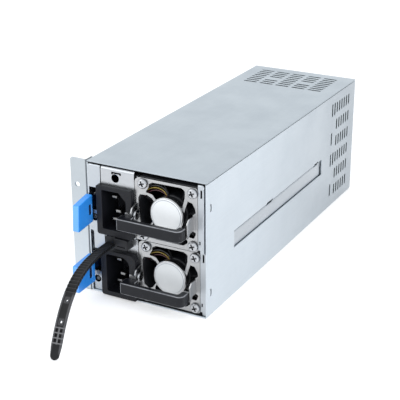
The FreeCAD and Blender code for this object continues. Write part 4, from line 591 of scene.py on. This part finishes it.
def strap_flat():
    """The strap laid out straight: along X (mm), across Y, up Z."""
    L = LENGTH / MM
    step = 0.2
    n = int(round(L / step))
    cols = [-3.15, -3.02, -2.75, -2.30, -2.12, -1.3, -0.65, 0.0, 0.65, 1.3, 2.12, 2.30, 2.75, 3.02, 3.15]
    bm = bmesh.new()
    grid_t, grid_b = [], []
    for i in range(n + 1):
        s = L * i / n
        half = 3.15
        if s > L - 9.0:
            t = (s - (L - 9.0)) / 9.0
            half = 3.15 - 0.75 * (t * t * (3 - 2 * t))
        if s > L - 2.4:
            u = min((s - (L - 2.4)) / 2.4, 1.0)
            half *= math.sqrt(max(1.0 - u * u, 0.0016))
        top, bot = [], []
        for c in cols:
            w = c / 3.15 * half if s > L - 9.0 else c
            if 3.0 < s < L - 38.0 and abs(c) > 2.9:
                w -= math.copysign(0.26 * max(0.0, math.cos(2 * math.pi * (s - 3.0) / 2.45)) ** 2, c)
            a = abs(c)
            crown = 0.80 if a < 2.76 else (0.68 if a < 3.05 else 0.30)
            h = crown
            if 3.0 < s < L - 9.5 and a <= 2.13:
                ph = (s - 3.0) % 2.45 / 2.45
                if s < L - 38.0:
                    tooth = 0.78 * (1.0 - ph / 0.72) if ph < 0.72 else 0.78 * (ph - 0.72) / 0.28
                    h = 0.12 + tooth
                else:
                    h = 0.62
            if s > L - 2.4:
                u = min((s - (L - 2.4)) / 2.4, 1.0)
                h *= 1.0 - 0.45 * u * u
            top.append(bm.verts.new((s, w, h)))
            lowc = -0.80 if a < 2.76 else (-0.68 if a < 3.05 else -0.30)
            bot.append(bm.verts.new((s, w, lowc * (h / crown if s > L - 2.4 else 1.0))))
        grid_t.append(top)
        grid_b.append(bot)
    m = len(cols)
    for i in range(n):
        for j in range(m - 1):
            bm.faces.new((grid_t[i][j], grid_t[i + 1][j], grid_t[i + 1][j + 1], grid_t[i][j + 1]))
            bm.faces.new((grid_b[i][j], grid_b[i][j + 1], grid_b[i + 1][j + 1], grid_b[i + 1][j]))
        for j in (0, m - 1):
            q = (grid_t[i][j], grid_b[i][j], grid_b[i + 1][j], grid_t[i + 1][j])
            bm.faces.new(q)
    for i in (0, n):
        for j in range(m - 1):
            bm.faces.new((grid_t[i][j], grid_t[i][j + 1], grid_b[i][j + 1], grid_b[i][j]))
    return from_bm("plug_strap", bm)


def cutter(kind, x, y, sx, sy):
    bm = bmesh.new()
    if kind == "round":
        bmesh.ops.create_cone(bm, cap_ends=True, segments=28, radius1=sx, radius2=sx, depth=6.0)
    else:
        bmesh.ops.create_cube(bm, size=1.0)
        bmesh.ops.scale(bm, vec=(sx, sy, 6.0), verts=bm.verts)
        sides = [e for e in bm.edges if abs(e.verts[0].co.z - e.verts[1].co.z) > 1]
        bmesh.ops.bevel(bm, geom=sides, offset=0.22, segments=3, affect="EDGES", profile=0.5)
    bmesh.ops.translate(bm, vec=(x, y, 0 if kind == "round" else 2.75), verts=bm.verts)
    return from_bm("strap_cutter", bm, False)


strap = strap_flat()
holes = [("round", 61.8, 0, 0.68, 0), ("round", 74.0, 0, 0.78, 0)]
for c in (78.6, 81.4, 84.2):
    for y in (-1.25, 1.25):
        holes.append(("slot", c, y, 1.9, 1.35))
cutters = [cutter(*h) for h in holes]
for i, c in enumerate(cutters):
    mod = strap.modifiers.new("hole_%d" % i, "BOOLEAN")
    mod.operation = "DIFFERENCE"
    mod.object = c
    mod.solver = "EXACT"
bpy.context.view_layer.update()
dg = bpy.context.evaluated_depsgraph_get()
cut_mesh = bpy.data.meshes.new_from_object(strap.evaluated_get(dg))
strap.modifiers.clear()
strap.data = cut_mesh
for c in cutters:
    bpy.data.objects.remove(c)
strip = cut_mesh.uv_layers.get("strip") or cut_mesh.uv_layers.new(name="strip")
for lp in cut_mesh.loops:
    q = cut_mesh.vertices[lp.vertex_index].co
    strip.data[lp.index].uv = (q.x / 100.0, q.y / 100.0)
for v in cut_mesh.vertices:
    s, w, h = v.co
    p, t = on_track(s * MM)
    up = ACROSS.cross(t).normalized()
    if up.z < 0 and t.z > -0.5:
        up = -up
    v.co = p + ACROSS * (w * MM) + up * (h * MM)
cut_mesh.update()
for p in cut_mesh.polygons:
    p.use_smooth = True
crisp(strap, 0.0, angle=30)
settle(strap, "retention_strap", material=STRAP)

# ---------------------------------------------------------------- the cage
for node, width in (("cage_lid", 0.14), ("cage_rear_panel", 0.12), ("mid_shelf", 0.12)):
    polish(node, GALV, width)
polish("cage_base", GALV_BASE, 0.14)
polish("mounting_ear", GALV_EAR, 0.16, roll=(lambda q: abs(q.x + 0.03925) < 1e-5 and abs(q.y + 0.11325) < 1e-5, 0.0009))
polish("ear_rivets", SCREW, 0.18, 3)
polish("rear_screws", SCREW, 0.10)
polish("top_runners", NYLON, 0.15)
polish("backplane_board", BOARD, 0.06)
polish("backplane_sockets", BLACK, 0.15)
polish("backplane_standoffs", BRIGHT, 0.15)
polish("output_headers", NYLON, 0.15)
polish("harness_bushing", BLACK, 0.20)

# -------------------------------------------------------------- the modules
FAN_X = 15.4
OFF = {"lower": (-112.05, 0.0), "upper": (-114.45, 40.15)}
for p in ("upper", "lower"):
    u = p + "_"
    oy, oz = OFF[p]
    polish(u + "case_tray", GALV_IN, 0.12)
    polish(u + "case_cover", GALV_IN, 0.12)
    polish(u + "front_plate", NICKEL, 0.08)
    polish(u + "fan_guard", GUARD, 0.16, 2)
    polish(u + "guard_screws", SCREW, 0.10)
    polish(u + "fan_frame", FANBLACK, 0.18)
    polish(u + "fan_rotor", FANBLACK, 0.10)
    polish(u + "inlet_housing", INLET, 0.22, 3)
    polish(u + "inlet_pins", BLADE_SHADED, 0.15)
    polish(u + "handle_grip", GRIP, 0.0)
    polish(u + "handle_screws", SCREW, 0.08)
    polish(u + "leg_screw", SCREW, 0.10)
    polish(u + "latch_lever", BLUE, 0.20, 3)
    polish(u + "latch_pin", SCREW, 0.15)
    polish(u + "status_led", LENS, 0.15)
    polish(u + "main_board", BOARD, 0.06)
    polish(u + "transformer", TAPE, 0.3)
    polish(u + "bulk_capacitors", SLEEVE, 0.4, 3)
    polish(u + "heatsinks", ALU, 0.12)
    polish(u + "filter_chokes", WINDING, 0.0)

    # hub disc: turned profile, slightly crowned
    # The lower disc's darker tone is painted shade: the same label in a lit and a shaded copy.
    tone = (0.62, 0.635, 0.65) if p == "upper" else (0.50, 0.515, 0.53)
    bm = bmesh.new()
    c = Vector((FAN_X, 0, oz + 20.95))
    prof = [(0.0, -0.30), (3.2, -0.295), (6.9, -0.28), (9.0, -0.25), (9.6, -0.22), (9.95, -0.14), (10.08, -0.02), (10.08, 0.0)]
    seg = 96
    rings = []
    for r, d in prof:
        if r == 0:
            rings.append([bm.verts.new((c.x * MM, (oy - 2.0 + d) * MM, c.z * MM))] * seg)
            continue
        rings.append([bm.verts.new(((c.x + r * math.cos(2 * math.pi * k / seg)) * MM, (oy - 2.0 + d) * MM,
                                    (c.z + r * math.sin(2 * math.pi * k / seg)) * MM)) for k in range(seg)])
    for a, b in zip(rings, rings[1:]):
        for k in range(seg):
            q = [a[k], a[(k + 1) % seg], b[(k + 1) % seg], b[k]]
            q = [v for i, v in enumerate(q) if v not in q[:i]]
            bm.faces.new(q)
    bm.faces.new(rings[-1])
    disc = from_bm(u + "hub_disc", bm)
    crisp(disc, 0.0)
    settle(disc, u + "hub_label", material=label_finish(u + "disc_print", (c.x * MM, c.z * MM), tone))

    # fan leads behind the guard's top opening
    cz = oz + 20.95
    bow = ((-17.6, 8.6, 3.4), (-15.4, 11.2, 2.6), (-12.9, 12.9, 2.4), (-9.4, 14.0, 2.5), (-6.4, 13.7, 2.6), (-4.0, 12.5, 2.9),
           (-2.7, 10.4, 3.3), (-2.5, 8.4, 3.6))
    for k, (col, nm, dx, dz, dy) in enumerate(((LEAD_Y_SHADED, "yellow", 0.0, 0.0, 0.0), (LEAD_R_SHADED, "red", 0.5, -1.5, 0.15), (LEAD_K, "black", 0.3, 1.4, 0.2))):
        cu = bpy.data.curves.new(u + "lead_" + nm, "CURVE")
        cu.dimensions = "3D"
        cu.bevel_depth = 0.00038
        cu.bevel_resolution = 4
        cu.resolution_u = 12
        cu.use_fill_caps = True
        n = len(bow)
        low = 0.0 if p == "upper" else 1.0
        pts = [((FAN_X + x + dx) * MM, (oy + min(y + dy, 3.6)) * MM, (cz + z + dz - low * (0.6 + 0.16 * i)) * MM, 1.0)
               for i, (x, z, y) in enumerate(bow)]
        sp = cu.splines.new("NURBS")
        sp.points.add(n - 1)
        for q, w in zip(sp.points, pts):
            q.co = w
        sp.order_u = 3
        sp.use_endpoint_u = True
        lead = add_object(u + "lead_" + nm, cu)
        lead.data.materials.append(col)
        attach(lead, BODY[u + "fan_wires"])
        if k == 0:
            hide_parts(u + "fan_wires")

polish("strap_mount", BLACK, 0.20)

# ------------------------------------------------------------ floor and light
k = Mat("floor_paper", 0.85, Emission_Color=(1.0, 1.0, 1.0, 1.0), Emission_Strength=0.37)
floor_mat = k.done(k.mix(k.span(k.noise(3, 3), 0.3, 0.7), (0.61, 0.61, 0.614), (0.63, 0.63, 0.634)), k.span(k.noise(30, 3), 0.3, 0.7, 0.8, 0.9),
                   k.bump(k.noise(900, 2), 0.00002, 0.2))
fm = bpy.data.meshes.new("floor")
fm.from_pydata([(-8, -8, -0.0002), (8, -8, -0.0002), (8, 8, -0.0002), (-8, 8, -0.0002)], [], [(0, 1, 2, 3)])
floor = add_object("floor", fm)
floor.data.materials.append(floor_mat)

world = bpy.data.worlds.new("studio")
scene.world = world
world.use_nodes = True
wt = world.node_tree
wt.nodes.clear()
wo = wt.nodes.new("ShaderNodeOutputWorld")
bg = wt.nodes.new("ShaderNodeBackground")
tc = wt.nodes.new("ShaderNodeTexCoord")
sep = wt.nodes.new("ShaderNodeSeparateXYZ")
rp = wt.nodes.new("ShaderNodeValToRGB")
wt.links.new(tc.outputs["Generated"], sep.inputs[0])
wt.links.new(sep.outputs[2], rp.inputs[0])
cr = rp.color_ramp
cr.elements[0].position = 0.0
cr.elements[0].color = (1.00, 1.04, 1.08, 1)
cr.elements[1].position = 1.0
cr.elements[1].color = (1.05, 1.07, 1.10, 1)
e = cr.elements.new(0.28)
e.color = (1.24, 1.30, 1.33, 1)
e = cr.elements.new(0.50)
e.color = (1.24, 1.30, 1.33, 1)
wt.links.new(rp.outputs[0], bg.inputs[0])
bg.inputs[1].default_value = 1.0
wt.links.new(bg.outputs[0], wo.inputs[0])


def softbox(name, where, at, size, power, colour=(1, 1, 1), gloss=True):
    d = bpy.data.lights.new(name, "AREA")
    d.shape = "RECTANGLE"
    d.size, d.size_y = size
    d.energy = power
    d.color = colour
    o = add_object(name, d)
    o.visible_glossy = gloss
    o.location = where
    o.rotation_euler = (Vector(at) - Vector(where)).to_track_quat("-Z", "Y").to_euler()
    return o


softbox("right_box", (0.75, -0.95, 0.8), (0.12, -0.25, 0.0), (0.9, 0.9), 7.0, gloss=False)
softbox("left_box", (-0.9, -0.8, 0.9), (-0.05, -0.2, 0.03), (1.0, 1.0), 4.0)
softbox("right_near_box", (0.42, -0.27, 0.25), (0.10, -0.12, 0.0), (0.14, 0.14), 0.75, gloss=False)
softbox("left_near_box", (-0.27, -0.46, 0.24), (-0.06, -0.20, 0.0), (0.14, 0.14), 0.18, gloss=False)

scene.view_settings.view_transform = "Standard"
scene.view_settings.look = "None"
scene.view_settings.exposure = 0.0
scene.view_settings.gamma = 1.0
